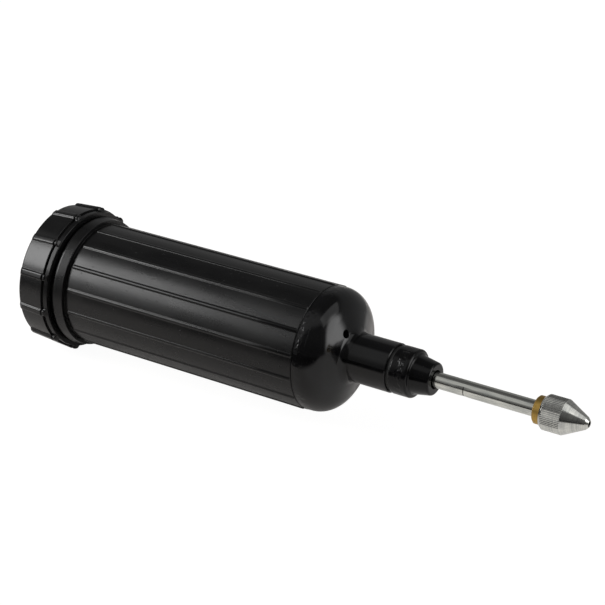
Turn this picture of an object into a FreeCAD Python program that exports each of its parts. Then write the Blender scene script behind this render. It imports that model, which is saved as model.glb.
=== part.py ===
"""Push-type hand grease gun: lugged screw cap, ribbed plastic barrel, domed head with a spring-loaded plunger tube
and a knurled nozzle.

The gun lies on the lugs of its cap with the nozzle towards +X. The origin is on the ground under the middle of its
length. Every station along the gun is counted from the back face of the cap.
"""
import FreeCAD, Part
import os
import re

import Sketcher

DOC = FreeCAD.newDocument("GreaseGun")
SHEET = DOC.addObject("Spreadsheet::Sheet", "Sizes")

# name, value (a number, or a formula over the names above it), what it is
SIZES = [
    # end cap
    ("cap_length", 14.3, "end cap, back face to front edge"),
    ("cap_wall", 3.05, "skirt of the end cap at its back"),
    ("cap_flare", 0.8, "how far the skirt widens towards its groove"),
    ("cap_back_edge", 0.6, "bevel round the back of the cap"),
    ("cap_band", 1.4, "plain band round the front of the cap"),
    ("cap_groove", 0.4, "groove behind that band, along the cap"),
    ("cap_groove_depth", 0.35, "depth of that groove"),
    ("cap_mouth_wall", 2.95, "skirt of the end cap at its front edge"),
    ("cap_mouth_round", 0.6, "rounding of that edge"),
    ("cap_floor", 2.8, "thickness of the cap's floor"),
    ("cap_rim", 7.4, "flat rim round the shallow dish in the cap's back"),
    ("cap_dish_depth", 0.9, "depth of that dish"),
    ("breather_radius", 1.5, "breather hole through the middle of the cap"),
    ("lug_count", 12, "grip lugs round the cap"),
    ("lug_width", 2.4, "width of a grip lug"),
    ("lug_edge", 0.45, "bevel along the edges of a lug"),
    ("lug_knob", 1.35, "half the width of the bevelled knob at the front end of a lug"),
    ("knob_length", 2.0, "length of that knob"),
    ("lug_stand", 0.85, "how far a lug stands out of the skirt"),
    ("thread_clearance", 0.15, "radial clearance of the plain thread cylinders"),
    # barrel
    ("bore_radius", 22.6, "inside of the barrel"),
    ("barrel_wall", 2.15, "wall of the barrel between the ribs"),
    ("barrel_length", 125.5, "barrel, back edge to front edge"),
    ("thread_height", 0.45, "how far the cap's thread stands out of the barrel"),
    ("collar_gap", 1.2, "cap's front edge to the grip collar"),
    ("collar_length", 5.1, "grip collar along the barrel"),
    ("collar_stand", 2.0, "how far the grip collar stands out at its back"),
    ("collar_taper", 0.45, "how much lower the collar is at its front"),
    ("collar_slope", 1.5, "slope from the collar's front down to the barrel's side, along the barrel"),
    ("rib_count", 16, "narrow ribs along the barrel"),
    ("rib_radius", 1.1, "round section of a rib"),
    ("rib_stand", 0.4, "how far a rib stands out of the barrel"),
    ("rib_turn", 8.5, "turn of the first rib from the top, degrees"),
    ("seal_thickness", 1.2, "flat ring between the cap and the barrel"),
    ("face_gap", 0.05, "gap between faces that are drawn up to each other"),
    # follower
    ("follower_gap", 1.8, "follower's boss to the pump cylinder when the gun is empty"),
    ("follower_length", 12.0, "follower skirt"),
    ("follower_wall", 1.6, "wall of the follower skirt"),
    ("follower_web", 2.4, "front wall of the follower"),
    ("follower_clearance", 0.35, "radial clearance of the follower in the barrel"),
    ("follower_rib_count", 6, "stiffening ribs behind the follower's front wall"),
    ("boss_radius", 5.0, "boss that carries the follower's cup seal"),
    ("boss_length", 4.2, "length of that boss"),
    ("cup_thickness", 1.8, "web of the cup seal"),
    ("cup_lip", 3.4, "overall depth of the cup seal with its lip"),
    ("cup_clearance", 0.3, "radial clearance of the soft cup seal"),
    # head
    ("spigot_length", 13.2, "part of the head that screws into the barrel"),
    ("spigot_clearance", 0.12, "radial clearance of that thread's plain cylinder"),
    ("spigot_wall", 2.8, "wall of the spigot"),
    ("dome_step", 0.15, "how far the dome's side lies below the barrel's"),
    ("dome_rim", 8.7, "seam to the corner where the dome's side and face would meet"),
    ("dome_angle", 16.5, "slope of the dome's face, degrees"),
    ("dome_round", 9.0, "rounding between the dome's side and face"),
    ("dome_wall", 3.0, "wall of the dome"),
    ("neck_wall", 1.65, "wall of the neck round the gland nut's thread"),
    ("neck_round", 3.0, "rounding where the neck leaves the dome"),
    ("neck_length", 18.5716, "neck, from where it meets the dome's face to its front"),
    ("hub_wall", 3.12, "wall of the hub that holds the pump cylinder"),
    ("spring_seat_depth", 8.6, "spigot's back edge to the step that carries the return spring"),
    ("spring_room", 1.0, "space round the return spring in the neck"),
    ("gland_land", 1.1, "step from the spring's bore out to the gland nut's thread"),
    ("gland_thread_depth", 9.8, "depth of the bore for the gland nut"),
    ("vent_radius", 1.65, "vent hole in the dome's face"),
    ("vent_gap", 2.75, "neck to the middle of the vent hole"),
    ("vent_turn", 31.3, "turn of the vent hole from the top, degrees"),
    ("head_ring_width", 1.8, "sealing ring on the spigot, along the gun"),
    ("head_ring_depth", 1.5, "sealing ring on the spigot, out from the axis"),
    ("head_ring_offset", 2.6, "spigot's back edge to the ring"),
    # pump cylinder
    ("plunger_radius", 3.1, "outside of the plunger tube"),
    ("plunger_wall", 1.6, "wall of the plunger tube round its passage"),
    ("running_clearance", 0.06, "radial clearance of sliding metal parts"),
    ("cylinder_wall", 2.9, "wall of the pump cylinder, with the running clearance"),
    ("cylinder_clearance", 0.08, "radial clearance of the cylinder's thread in the hub"),
    ("stroke", 28.0, "travel of the plunger tube"),
    ("cylinder_end_wall", 3.0, "closed back end of the pump cylinder"),
    ("cylinder_end_space", 2.0, "space left behind the tube at full stroke"),
    ("cylinder_flange", 2.5, "thickness of the hexagon flange"),
    ("flange_stand", 1.0, "how far the hexagon's flats stand out of the cylinder"),
    ("port_radius", 1.3, "cross port that lets grease into the cylinder"),
    ("port_offset", 5.0, "back of the flange to the middle of the port"),
    # plunger and what is on it
    ("tube_tail", 6.0, "plunger tube behind the return spring's step at rest"),
    ("piston_ring_length", 1.5, "ring in the groove at the tube's back end"),
    ("piston_ring_offset", 1.5, "tube's back end to that ring"),
    ("groove_depth", 0.6, "depth of the grooves in the tube"),
    ("seat_thickness", 1.0, "washer under the return spring"),
    ("spring_wire", 1.1, "wire of the return spring"),
    ("spring_gap", 1.7, "plunger tube to the inside of the return spring"),
    ("spring_turns", 8, "turns of the return spring"),
    ("stop_lip", 0.2, "how far the stop collar reaches past the return spring"),
    ("stop_length", 2.0, "length of that collar"),
    ("clip_stand", 1.2, "how far the spring clip stands out of the tube"),
    ("clip_thickness", 0.8, "thickness of the clip"),
    # gland nut
    ("gland_seal_thickness", 1.3, "ring in the groove between the neck and the gland nut"),
    ("gland_seal_inset", 0.9, "how far that ring lies below the neck's side"),
    ("gland_step", 0.2, "how far the gland nut's side lies below the neck's"),
    ("gland_length", 7.4, "straight part of the gland nut"),
    ("gland_edge", 0.5, "bevel at the back edge of the gland nut"),
    ("gland_round", 0.9, "rounding of the gland nut's front shoulder"),
    ("stop_room", 0.3, "space round the stop collar in the gland nut"),
    ("ledge_depth", 5.8, "gland nut's back shoulder to the ledge that stops the plunger"),
    ("packing_room", 1.9, "space round the plunger tube for the seal and the guide bush"),
    ("packing_length", 7.0, "length of that space"),
    ("nose_step", 1.8, "shoulder between the gland nut's side and its conical nose"),
    ("nose_fillet", 0.7, "rounding inside that shoulder"),
    ("nose_taper", 1.35, "how much the nose narrows towards its front"),
    ("nose_wall", 2.55, "front wall of the nose"),
    ("nose_round", 0.9, "rounding of the nose's front edge"),
    ("nose_gap", 0.5, "space round the plunger tube in the nose's hole"),
    ("bush_length", 3.6, "guide bush"),
    ("rod_seal_width", 1.8, "ring that seals the plunger tube, along the gun"),
    # nozzle
    ("tube_shown", 41.9, "bare plunger tube between the nose and the coupling"),
    ("tube_in_coupling", 4.5, "plunger tube inside the coupling"),
    ("coupling_rim", 2.9, "part of the coupling that shows"),
    ("coupling_wall", 2.25, "wall of that part round the tube"),
    ("coupling_edge", 0.45, "bevel at the back of the coupling"),
    ("coupling_step", 1.35, "how far the coupling's thread lies below its rim"),
    ("coupling_length", 7.4, "coupling, end to end"),
    ("valve_passage", 1.4, "passage in the coupling, closed by the ball"),
    ("nozzle_wall", 2.7, "wall of the nozzle's knurled part round the coupling"),
    ("nozzle_back_step", 0.8, "how much narrower the nozzle's back face is"),
    ("nozzle_bevel", 1.0, "bevel at the back of the nozzle"),
    ("knurl_length", 7.35, "knurled part of the nozzle"),
    ("cone_length", 8.25, "cone of the nozzle"),
    ("tip_wall", 0.35, "face of the nozzle's tip round the outlet"),
    ("tip_bevel", 1.03, "how much the tip narrows"),
    ("tip_length", 1.0, "bevelled tip of the nozzle"),
    ("orifice_radius", 1.05, "outlet through the tip"),
    ("nozzle_ring_thickness", 1.0, "sealing ring between coupling and nozzle"),
    ("ball_radius", 2.0, "ball of the check valve"),
    ("ball_room", 0.7, "space round the ball"),
    ("ball_gap", 0.02, "gap under the ball at rest"),
    ("valve_chamber_length", 7.6, "seat of the ball to the end of its chamber"),
    ("valve_wire", 0.4, "wire of the check valve's spring"),
    ("valve_spring_inset", 0.3, "how much smaller the valve spring's middle radius is than the ball's"),
    ("valve_spring_turns", 4, "turns of the check valve's spring"),
    # radii that follow from the ones above
    ("barrel_radius", "bore_radius + barrel_wall", "outside of the barrel between the ribs"),
    ("barrel_thread_radius", "barrel_radius + thread_height", "plain cylinder of the barrel's cap thread"),
    ("collar_back_radius", "barrel_radius + collar_stand", "grip collar at its back"),
    ("collar_front_radius", "collar_back_radius - collar_taper", "grip collar at its front"),
    ("cap_back_radius", "barrel_thread_radius + thread_clearance + cap_wall", "end cap skirt at the back face"),
    ("cap_front_radius", "cap_back_radius + cap_flare", "end cap skirt at its groove"),
    ("cap_mouth_radius", "barrel_thread_radius + thread_clearance + cap_mouth_wall", "end cap at its front edge"),
    ("cap_dish_radius", "cap_back_radius - cap_rim", "dish in the cap's back face"),
    ("lug_reach", "(cap_front_radius + lug_stand) * cos(180 / lug_count)"
     " + (lug_width / 2 - lug_edge) * sin(180 / lug_count)", "the two lowest lugs, below the gun's axis"),
    ("axis_height", "max(cap_front_radius; lug_reach)", "the gun's axis above the ground"),
    ("spigot_radius", "bore_radius - spigot_clearance", "plain cylinder of the spigot"),
    ("follower_radius", "bore_radius - follower_clearance", "outside of the follower"),
    ("cup_radius", "bore_radius - cup_clearance", "lip of the follower's cup seal"),
    ("dome_radius", "barrel_radius - dome_step", "largest radius of the domed head"),
    ("dome_inside_radius", "dome_radius - dome_wall", "inside of the dome"),
    ("plunger_bore", "plunger_radius - plunger_wall", "passage through the plunger tube"),
    ("cylinder_bore", "plunger_radius + running_clearance", "bore of the pump cylinder"),
    ("cylinder_radius", "plunger_radius + cylinder_wall", "outside of the pump cylinder"),
    ("cylinder_flats", "2 * (cylinder_radius + flange_stand)", "hexagon flange across its flats"),
    ("hub_radius", "cylinder_radius + cylinder_clearance + hub_wall", "hub inside the head"),
    ("spring_radius", "plunger_radius + spring_gap + spring_wire / 2", "middle radius of the return spring"),
    ("spring_bore_radius", "spring_radius + spring_wire / 2 + spring_room", "bore of the neck round the spring"),
    ("stop_radius", "spring_radius + spring_wire / 2 + stop_lip", "collar that the return spring pushes on"),
    ("clip_radius", "plunger_radius + clip_stand", "spring clip that holds the collar on the tube"),
    ("gland_thread_radius", "spring_bore_radius + gland_land", "bore of the neck for the gland nut"),
    ("neck_radius", "gland_thread_radius + neck_wall", "outside of the neck"),
    ("vent_offset", "neck_radius + vent_gap", "vent hole from the gun's axis"),
    ("gland_radius", "neck_radius - gland_step", "gland nut"),
    ("gland_seal_radius", "neck_radius - gland_seal_inset", "outside of the ring in the groove"),
    ("gland_chamber_radius", "stop_radius + stop_room", "chamber in the gland nut behind its ledge"),
    ("packing_radius", "plunger_radius + packing_room", "bore in front of the ledge"),
    ("nose_back_radius", "gland_radius - nose_step", "conical nose at the gland nut"),
    ("nose_front_radius", "nose_back_radius - nose_taper", "conical nose at its front"),
    ("nose_hole_radius", "plunger_radius + nose_gap", "hole in the nose round the plunger tube"),
    ("coupling_radius", "plunger_radius + coupling_wall", "outside of the coupling"),
    ("coupling_thread_radius", "coupling_radius - coupling_step", "plain cylinder of the coupling's thread"),
    ("nozzle_radius", "coupling_thread_radius + nozzle_wall", "knurled part of the nozzle"),
    ("nozzle_back_radius", "nozzle_radius - nozzle_back_step", "nozzle at its back face"),
    ("tip_radius", "orifice_radius + tip_wall", "nozzle at its tip"),
    ("cone_end_radius", "tip_radius + tip_bevel", "end of the nozzle's cone"),
    ("valve_chamber_radius", "ball_radius + ball_room", "chamber of the check valve"),
    ("valve_spring_radius", "ball_radius - valve_spring_inset", "middle radius of the check valve's spring"),
    # stations along the gun that follow from the lengths above
    ("barrel_back", "cap_floor + seal_thickness + face_gap", "station of the barrel's back edge"),
    ("collar_back", "cap_length + collar_gap", "station of the back of the grip collar"),
    ("seam", "barrel_back + barrel_length", "station of the seam between barrel and head"),
    ("head_back", "seam + face_gap - spigot_length", "station of the spigot's back edge"),
    ("neck_root", "spigot_length + dome_rim + (dome_radius - neck_radius) * tan(dome_angle)",
     "where the dome's face meets the neck, from the spigot's back edge"),
    ("dome_inside_face", "neck_root - dome_wall / cos(dome_angle)", "inside of the dome's face at the neck"),
    ("neck_front", "head_back + neck_root + neck_length", "station of the neck's front face"),
    ("spring_seat_station", "head_back + spring_seat_depth", "station of the step that carries the spring"),
    ("gland_back", "neck_front - gland_thread_depth + 0.3", "station of the back of the gland nut"),
    ("gland_face", "neck_front + gland_seal_thickness + 2 * face_gap", "station of the gland nut's back shoulder"),
    ("gland_ledge", "gland_face + ledge_depth", "station of the ledge that stops the plunger"),
    ("packing_front", "gland_ledge + packing_length", "station where the bore in front of the ledge ends"),
    ("nose_front", "packing_front + nose_wall", "station of the nose's front face"),
    ("coupling_back", "nose_front + tube_shown", "station of the back of the brass coupling"),
    ("tube_front", "coupling_back + tube_in_coupling", "station of the plunger tube's front end at rest"),
    ("tube_back", "spring_seat_station - tube_tail", "station of the plunger tube's back end at rest"),
    ("cylinder_back", "tube_back - stroke - cylinder_end_space - cylinder_end_wall", "back of the pump cylinder"),
    ("flange_front", "head_back - face_gap - cylinder_back", "front of the hexagon flange on the cylinder"),
    ("follower_station", "cylinder_back - follower_gap - boss_length - follower_length",
     "station of the follower's back edge when the gun is empty"),
    ("stop_station", "gland_ledge - face_gap - stop_length", "station of the stop collar"),
    ("seat_station", "spring_seat_station + face_gap", "station of the spring's washer"),
    ("spring_length", "stop_station - seat_station - seat_thickness - 2 * face_gap", "return spring at rest"),
    ("coupling_face", "coupling_back + coupling_length", "station of the ball's seat"),
    ("nozzle_back", "coupling_back + coupling_rim + face_gap", "station of the nozzle's back face"),
    ("knurl_end", "nozzle_back + nozzle_bevel + knurl_length", "station where the nozzle's cone starts"),
    ("cone_end", "knurl_end + cone_length", "station where the nozzle's cone ends"),
    ("nozzle_front", "cone_end + tip_length", "station of the nozzle's tip"),
    ("origin_station", "nozzle_front / 2", "station of the origin"),
    ("valve_chamber_end", "coupling_face + valve_chamber_length", "station where the valve's chamber ends"),
    ("ball_station", "coupling_face + sqrt(ball_radius ^ 2 - valve_passage ^ 2) + ball_gap", "middle of the ball"),
    ("valve_spring_back", "ball_station + sqrt((ball_radius + valve_wire / 2) ^ 2 - valve_spring_radius ^ 2)"
     " - valve_wire / 2 + ball_gap", "back of the check valve's spring"),
    ("valve_spring_length", "valve_chamber_end - face_gap - valve_spring_back", "check valve's spring at rest"),
]
NAMES = {name for name, _value, _note in SIZES}


def fill_sheet():
    """Write the sizes into the sheet, each under its own name, with a note beside it."""
    for row, (name, value, note) in enumerate(SIZES, start=1):
        text = "=" + value if isinstance(value, str) else str(value)
        SHEET.set("A%d" % row, note)
        SHEET.set("B%d" % row, text)
        SHEET.setAlias("B%d" % row, name)
    DOC.recompute()


def bound(text):
    """Return an expression with every size's name pointed at the sheet."""
    return re.sub(r"[a-z_]+", lambda word: "Sizes." + word.group() if word.group() in NAMES else word.group(), text)


def size(name):
    """Return a size as the sheet holds it."""
    value = SHEET.get(name)
    return float(getattr(value, "Value", value))


def new_body(label, station, lift="axis_height"):
    """Start a body whose own X axis is the gun's axis, with its back at a station."""
    body = DOC.addObject("PartDesign::Body", label)
    body.Label = label
    body.setExpression("Placement.Base.x", bound("%s - origin_station" % station))
    body.setExpression("Placement.Base.z", bound(lift))
    return body


def origin_plane(body, role):
    """Return one of the body's own origin planes."""
    return next(item for item in body.Origin.OriginFeatures if item.Role == role)


def new_sketch(body, name, role, offset=None):
    """Start a sketch on one of the body's own planes, moved along its normal by an expression."""
    sketch = body.newObject("Sketcher::SketchObject", name)
    sketch.AttachmentSupport = [(origin_plane(body, role), "")]
    sketch.MapMode = "FlatFace"
    if offset is not None:
        sketch.setExpression("AttachmentOffset.Base.z", bound(offset))
    return sketch


def hold_point(sketch, geometry, point, across, up):
    """Hold one point of a sketch at two coordinates, each 0 or an expression."""
    for kind, axis, text in (("DistanceX", -2, across), ("DistanceY", -1, up)):
        if text == "0":
            sketch.addConstraint(Sketcher.Constraint("PointOnObject", geometry, point, axis))
            continue
        index = sketch.addConstraint(Sketcher.Constraint(kind, -1, 1, geometry, point, 1.0 + geometry))
        sketch.renameConstraint(index, "%s_%d_%d" % (kind[-1].lower(), geometry, point))
        sketch.setExpression("Constraints.%s_%d_%d" % (kind[-1].lower(), geometry, point), bound(text))


def outline(body, name, corners, role="XZ_Plane", offset=None):
    """Draw a closed outline whose corners are pairs of expressions: along the axis, and out from it.

    A third expression in a corner is the radius that rounds it.
    """
    sketch = new_sketch(body, name, role, offset)
    count = len(corners)
    spots = [FreeCAD.Vector(1.0 + index, 1.0 + (index * index) % 7, 0) for index in range(count)]
    lines = [Part.LineSegment(spots[index], spots[(index + 1) % count]) for index in range(count)]
    sketch.addGeometry(lines, False)
    for index in range(count):
        sketch.addConstraint(Sketcher.Constraint("Coincident", index, 2, (index + 1) % count, 1))
    for index, corner in enumerate(corners):
        hold_point(sketch, index, 1, corner[0], corner[1])
    rounded = [index for index, corner in enumerate(corners) if len(corner) > 2]
    if rounded:
        DOC.recompute()
    for index in rounded:
        round_corner(sketch, index, corners[index][2])
    return sketch


def round_corner(sketch, index, radius):
    """Round the corner between two lines of a solved outline; the corner itself stays held as a point."""
    middles = [(line.StartPoint + line.EndPoint) * 0.5 for line in sketch.Geometry[index - 1:index + 1]]
    sketch.fillet(index - 1, index, middles[0], middles[1], size(radius), True, True)
    arc = max(place for place, item in enumerate(sketch.Geometry) if isinstance(item, Part.ArcOfCircle))
    name = "round_%d" % index
    sketch.renameConstraint(sketch.addConstraint(Sketcher.Constraint("Radius", arc, size(radius))), name)
    sketch.setExpression("Constraints." + name, bound(radius))


def circle(body, name, role, across, up, radius, offset=None):
    """Draw one circle whose middle and radius are expressions."""
    sketch = new_sketch(body, name, role, offset)
    sketch.addGeometry(Part.Circle(FreeCAD.Vector(1, 1, 0), FreeCAD.Vector(0, 0, 1), 0.5), False)
    hold_point(sketch, 0, 3, across, up)
    index = sketch.addConstraint(Sketcher.Constraint("Radius", 0, 0.5))
    sketch.renameConstraint(index, "radius")
    sketch.setExpression("Constraints.radius", bound(radius))
    return sketch


def revolve(body, name, corners):
    """Turn a closed outline once round the body's X axis."""
    sketch = outline(body, name + "Outline", corners)
    feature = body.newObject("PartDesign::Revolution", name)
    feature.Profile = sketch
    feature.ReferenceAxis = (sketch, ["H_Axis"])
    feature.Angle = 360
    DOC.recompute()
    return feature


def cut_round(body, name, corners):
    """Cut a closed outline, turned once round the body's X axis, out of the body."""
    sketch = outline(body, name + "Outline", corners)
    before = body.Shape.Volume
    feature = body.newObject("PartDesign::Groove", name)
    feature.Profile = sketch
    feature.ReferenceAxis = (sketch, ["H_Axis"])
    feature.Angle = 360
    DOC.recompute()
    if not body.Shape.Volume < before:
        raise RuntimeError(name + " cuts nothing")
    return feature


def drill(body, name, sketch, length, reverse=False, midplane=False):
    """Cut a sketch straight through along its normal, and make sure that it cuts."""
    before = body.Shape.Volume
    feature = body.newObject("PartDesign::Pocket", name)
    feature.Profile = sketch
    feature.setExpression("Length", bound(length))
    feature.Reversed = reverse
    feature.Midplane = midplane
    DOC.recompute()
    if not body.Shape.Volume < before:
        raise RuntimeError(name + " cuts nothing")
    return feature


def pad(body, name, sketch, length, midplane=False):
    """Raise a sketch along its normal."""
    feature = body.newObject("PartDesign::Pad", name)
    feature.Profile = sketch
    feature.setExpression("Length", bound(length))
    feature.Midplane = midplane
    DOC.recompute()
    return feature


def repeat(body, name, features, axis_sketch, axis, count):
    """Repeat features round the body's X axis."""
    feature = body.newObject("PartDesign::PolarPattern", name)
    feature.Originals = features
    feature.Axis = (axis_sketch, [axis])
    feature.Angle = 360
    feature.setExpression("Occurrences", bound(count))
    body.Tip = feature
    DOC.recompute()
    return feature


def polygon(body, name, role, sides, across, up, corner, offset=None):
    """Draw a regular polygon whose middle and corner radius are expressions."""
    corners = []
    for turn in range(0, 360, 360 // sides):
        rise = up if turn % 180 == 0 else "%s + (%s) * sin(%d)" % (up, corner, turn)
        corners.append(("%s + (%s) * cos(%d)" % (across, corner, turn), rise))
    return outline(body, name, corners, role, offset)


def coil(body, name, length, radius, wire, turns):
    """Wind a wire, drawn as a square on its corner, into an open coil between two planes."""
    section = polygon(body, name + "Wire", "XZ_Plane", 4, wire + " / 2", radius, wire + " / 2")
    feature = body.newObject("PartDesign::AdditiveHelix", name)
    feature.Profile = section
    feature.ReferenceAxis = (section, ["H_Axis"])
    feature.Mode = 2
    feature.setExpression("Height", bound("%s - %s" % (length, wire)))
    feature.setExpression("Turns", bound(turns))
    DOC.recompute()
    return feature


def washer(label, station, length, inner, outer):
    """Make a plain ring."""
    body = new_body(label, station)
    revolve(body, label + "Ring", [("0", inner), ("0", outer), (length, outer), (length, inner)])
    return body


def end_cap():
    """Screw cap: a cup with a dished back, a groove and a plain band at its front, and grip lugs with knobs."""
    body = new_body("end_cap", "0")
    body.Placement.Rotation = FreeCAD.Rotation(FreeCAD.Vector(1, 0, 0), 15)
    body.setExpression("Placement.Rotation.Angle", bound("180 / lug_count"))
    inside = "barrel_thread_radius + thread_clearance"
    band = "cap_length - cap_band"
    skirt = band + " - cap_groove"
    revolve(body, "CapCup", [
        ("cap_dish_depth", "breather_radius"),
        ("cap_dish_depth", "cap_dish_radius"),
        ("0", "cap_dish_radius + cap_dish_depth"),
        ("0", "cap_back_radius - cap_back_edge"),
        ("cap_back_edge", "cap_back_radius"),
        (skirt, "cap_front_radius"),
        (skirt, "cap_front_radius - cap_groove_depth"),
        (band, "cap_front_radius - cap_groove_depth"),
        (band, "cap_front_radius - cap_groove_depth / 3"),
        ("cap_length", "cap_mouth_radius", "cap_mouth_round"),
        ("cap_length", inside + " + 0.6"),
        ("cap_length - 0.6", inside),
        ("cap_floor", inside),
        ("cap_floor", "breather_radius"),
    ])
    lug = pad(body, "Lug", outline(body, "LugSection", [
        ("-lug_width / 2", "cap_back_radius - 1.5"),
        ("lug_width / 2", "cap_back_radius - 1.5"),
        ("lug_width / 2", "cap_back_radius + lug_stand - lug_edge"),
        ("lug_width / 2 - lug_edge", "cap_back_radius + lug_stand"),
        ("lug_edge - lug_width / 2", "cap_back_radius + lug_stand"),
        ("-lug_width / 2", "cap_back_radius + lug_stand - lug_edge"),
    ], "YZ_Plane"), skirt)
    lug.UseCustomVector = True
    lug.AlongSketchNormal = True
    lug.Direction = FreeCAD.Vector(1, 0, 0)
    lug.setExpression("Direction.x", bound(skirt))
    lug.setExpression("Direction.z", bound("cap_front_radius - cap_back_radius"))
    DOC.recompute()
    repeat(body, "Lugs", [lug], lug.Profile[0], "N_Axis", "lug_count")
    ridge = "lug_width / 2 - lug_edge"
    top = "cap_front_radius + lug_stand"
    side = "%s - (lug_knob - (%s))" % (top, ridge)
    section = outline(body, "KnobSection", [
        ("-lug_knob", "cap_mouth_radius - cap_mouth_round"),
        ("lug_knob", "cap_mouth_radius - cap_mouth_round"),
        ("lug_knob", side),
        (ridge, top),
        ("-(%s)" % ridge, top),
        ("-lug_knob", side),
    ], "YZ_Plane", "cap_length - 0.2 - knob_length")
    knob = pad(body, "LugKnob", section, "knob_length")
    repeat(body, "LugKnobs", [knob], section, "N_Axis", "lug_count")
    return body


def barrel():
    """Plastic barrel: thread land at the back, sloped grip collar, and narrow ribs along the grip."""
    body = new_body("barrel", "barrel_back")
    collar = "collar_back - barrel_back"
    revolve(body, "BarrelTube", [
        ("0", "bore_radius"),
        ("0", "barrel_thread_radius - 0.8"),
        ("0.8", "barrel_thread_radius"),
        (collar, "barrel_thread_radius"),
        (collar, "collar_back_radius"),
        (collar + " + collar_length", "collar_front_radius"),
        (collar + " + collar_length + collar_slope", "barrel_radius"),
        ("barrel_length - 0.25", "barrel_radius"),
        ("barrel_length", "barrel_radius - 0.25"),
        ("barrel_length", "bore_radius"),
    ])
    across = "(barrel_radius + rib_stand - rib_radius) * sin(rib_turn)"
    up = "(barrel_radius + rib_stand - rib_radius) * cos(rib_turn)"
    start = collar + " + collar_length + collar_slope / 2"
    section = circle(body, "RibSection", "YZ_Plane", across, up, "rib_radius", start)
    rib = pad(body, "Rib", section, "barrel_length - 0.25 - (%s)" % start)
    repeat(body, "Ribs", [rib], section, "N_Axis", "rib_count")
    return body


def follower():
    """Follower: a shallow cup with a ribbed back and a boss that holds the cup seal."""
    body = new_body("follower", "follower_station")
    web = "follower_length - follower_web"
    lip = "follower_length + cup_thickness + 2 * face_gap"
    revolve(body, "FollowerCup", [
        ("0", "follower_radius - follower_wall"),
        ("0", "follower_radius"),
        ("follower_length", "follower_radius"),
        ("follower_length", "boss_radius"),
        (lip, "boss_radius"),
        (lip, "boss_radius + 0.6"),
        ("follower_length + boss_length - 0.6", "boss_radius + 0.6"),
        ("follower_length + boss_length", "boss_radius"),
        ("follower_length + boss_length", "0"),
        (web + " - 4", "0"),
        (web + " - 4", "boss_radius"),
        (web, "boss_radius"),
        (web, "follower_radius - follower_wall"),
    ])
    plate = outline(body, "FollowerRibPlate", [
        (web + " - 3", "boss_radius - 1"),
        (web + " + 0.5", "boss_radius - 1"),
        (web + " + 0.5", "follower_radius - 1"),
        (web + " - 7", "follower_radius - 1"),
    ])
    rib = pad(body, "FollowerRib", plate, "1.4", midplane=True)
    repeat(body, "FollowerRibs", [rib], plate, "H_Axis", "follower_rib_count")
    return body


def head():
    """Head: spigot, dome, neck and inner hub in one casting, with a vent hole through the dome's face."""
    body = new_body("head", "head_back")
    rim = "spigot_length + dome_rim"
    slope = "tan(dome_angle)"
    front = "neck_front - head_back"
    seat = "spring_seat_station - head_back"
    revolve(body, "HeadCasting", [
        ("0", "spigot_radius - spigot_wall"),
        ("0", "spigot_radius - 0.6"),
        ("0.6", "spigot_radius"),
        ("head_ring_offset - face_gap", "spigot_radius"),
        ("head_ring_offset - face_gap", "bore_radius - head_ring_depth - face_gap"),
        ("head_ring_offset + head_ring_width + face_gap", "bore_radius - head_ring_depth - face_gap"),
        ("head_ring_offset + head_ring_width + face_gap", "spigot_radius"),
        ("spigot_length", "spigot_radius"),
        ("spigot_length", "dome_radius - 0.2"),
        ("spigot_length + 0.2", "dome_radius"),
        (rim, "dome_radius", "dome_round"),
        ("neck_root", "neck_radius", "neck_round"),
        (front + " - 0.3", "neck_radius"),
        (front, "neck_radius - 0.3"),
        (front, "gland_thread_radius"),
        (front + " - gland_thread_depth", "gland_thread_radius"),
        (front + " - gland_thread_depth", "spring_bore_radius"),
        (seat, "spring_bore_radius"),
        (seat, "cylinder_radius + cylinder_clearance"),
        ("0", "cylinder_radius + cylinder_clearance"),
        ("0", "hub_radius"),
        ("dome_inside_face + (neck_radius - hub_radius) * " + slope, "hub_radius"),
        ("dome_inside_face - (dome_inside_radius - 4 - neck_radius) * " + slope, "dome_inside_radius - 4"),
        (rim + " - dome_wall - 3", "dome_inside_radius"),
        ("spigot_length + 1.5", "dome_inside_radius"),
        ("spigot_length - 1.5", "spigot_radius - spigot_wall"),
    ])
    vent = circle(body, "VentCircle", "YZ_Plane", "-vent_offset * sin(vent_turn)", "vent_offset * cos(vent_turn)",
                  "vent_radius", "neck_root + 2")
    drill(body, "Vent", vent, "dome_wall + 6")
    return body


def pump_cylinder():
    """Pump cylinder: a blind tube that screws into the hub, with a hexagon flange and a cross port."""
    body = new_body("pump_cylinder", "cylinder_back")
    front = "spring_seat_station - cylinder_back"
    revolve(body, "CylinderTube", [
        ("0", "0"),
        ("0", "cylinder_radius - 1"),
        ("1", "cylinder_radius"),
        (front, "cylinder_radius"),
        (front, "cylinder_bore + 0.4"),
        (front + " - 0.4", "cylinder_bore"),
        ("cylinder_end_wall", "cylinder_bore"),
        ("cylinder_end_wall", "0"),
    ])
    sketch = polygon(body, "HexagonOutline", "YZ_Plane", 6, "0", "0", "cylinder_flats / 2 / cos(30)",
                     "flange_front - cylinder_flange")
    pad(body, "HexagonFlange", sketch, "cylinder_flange")
    cut_round(body, "FlangeBore", [
        ("cylinder_end_wall", "0"),
        ("cylinder_end_wall", "cylinder_bore"),
        (front + " + 1", "cylinder_bore"),
        (front + " + 1", "0"),
    ])
    port = circle(body, "PortCircle", "XZ_Plane", "flange_front - cylinder_flange - port_offset", "0", "port_radius")
    drill(body, "Port", port, "4 * cylinder_radius", midplane=True)
    return body


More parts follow.
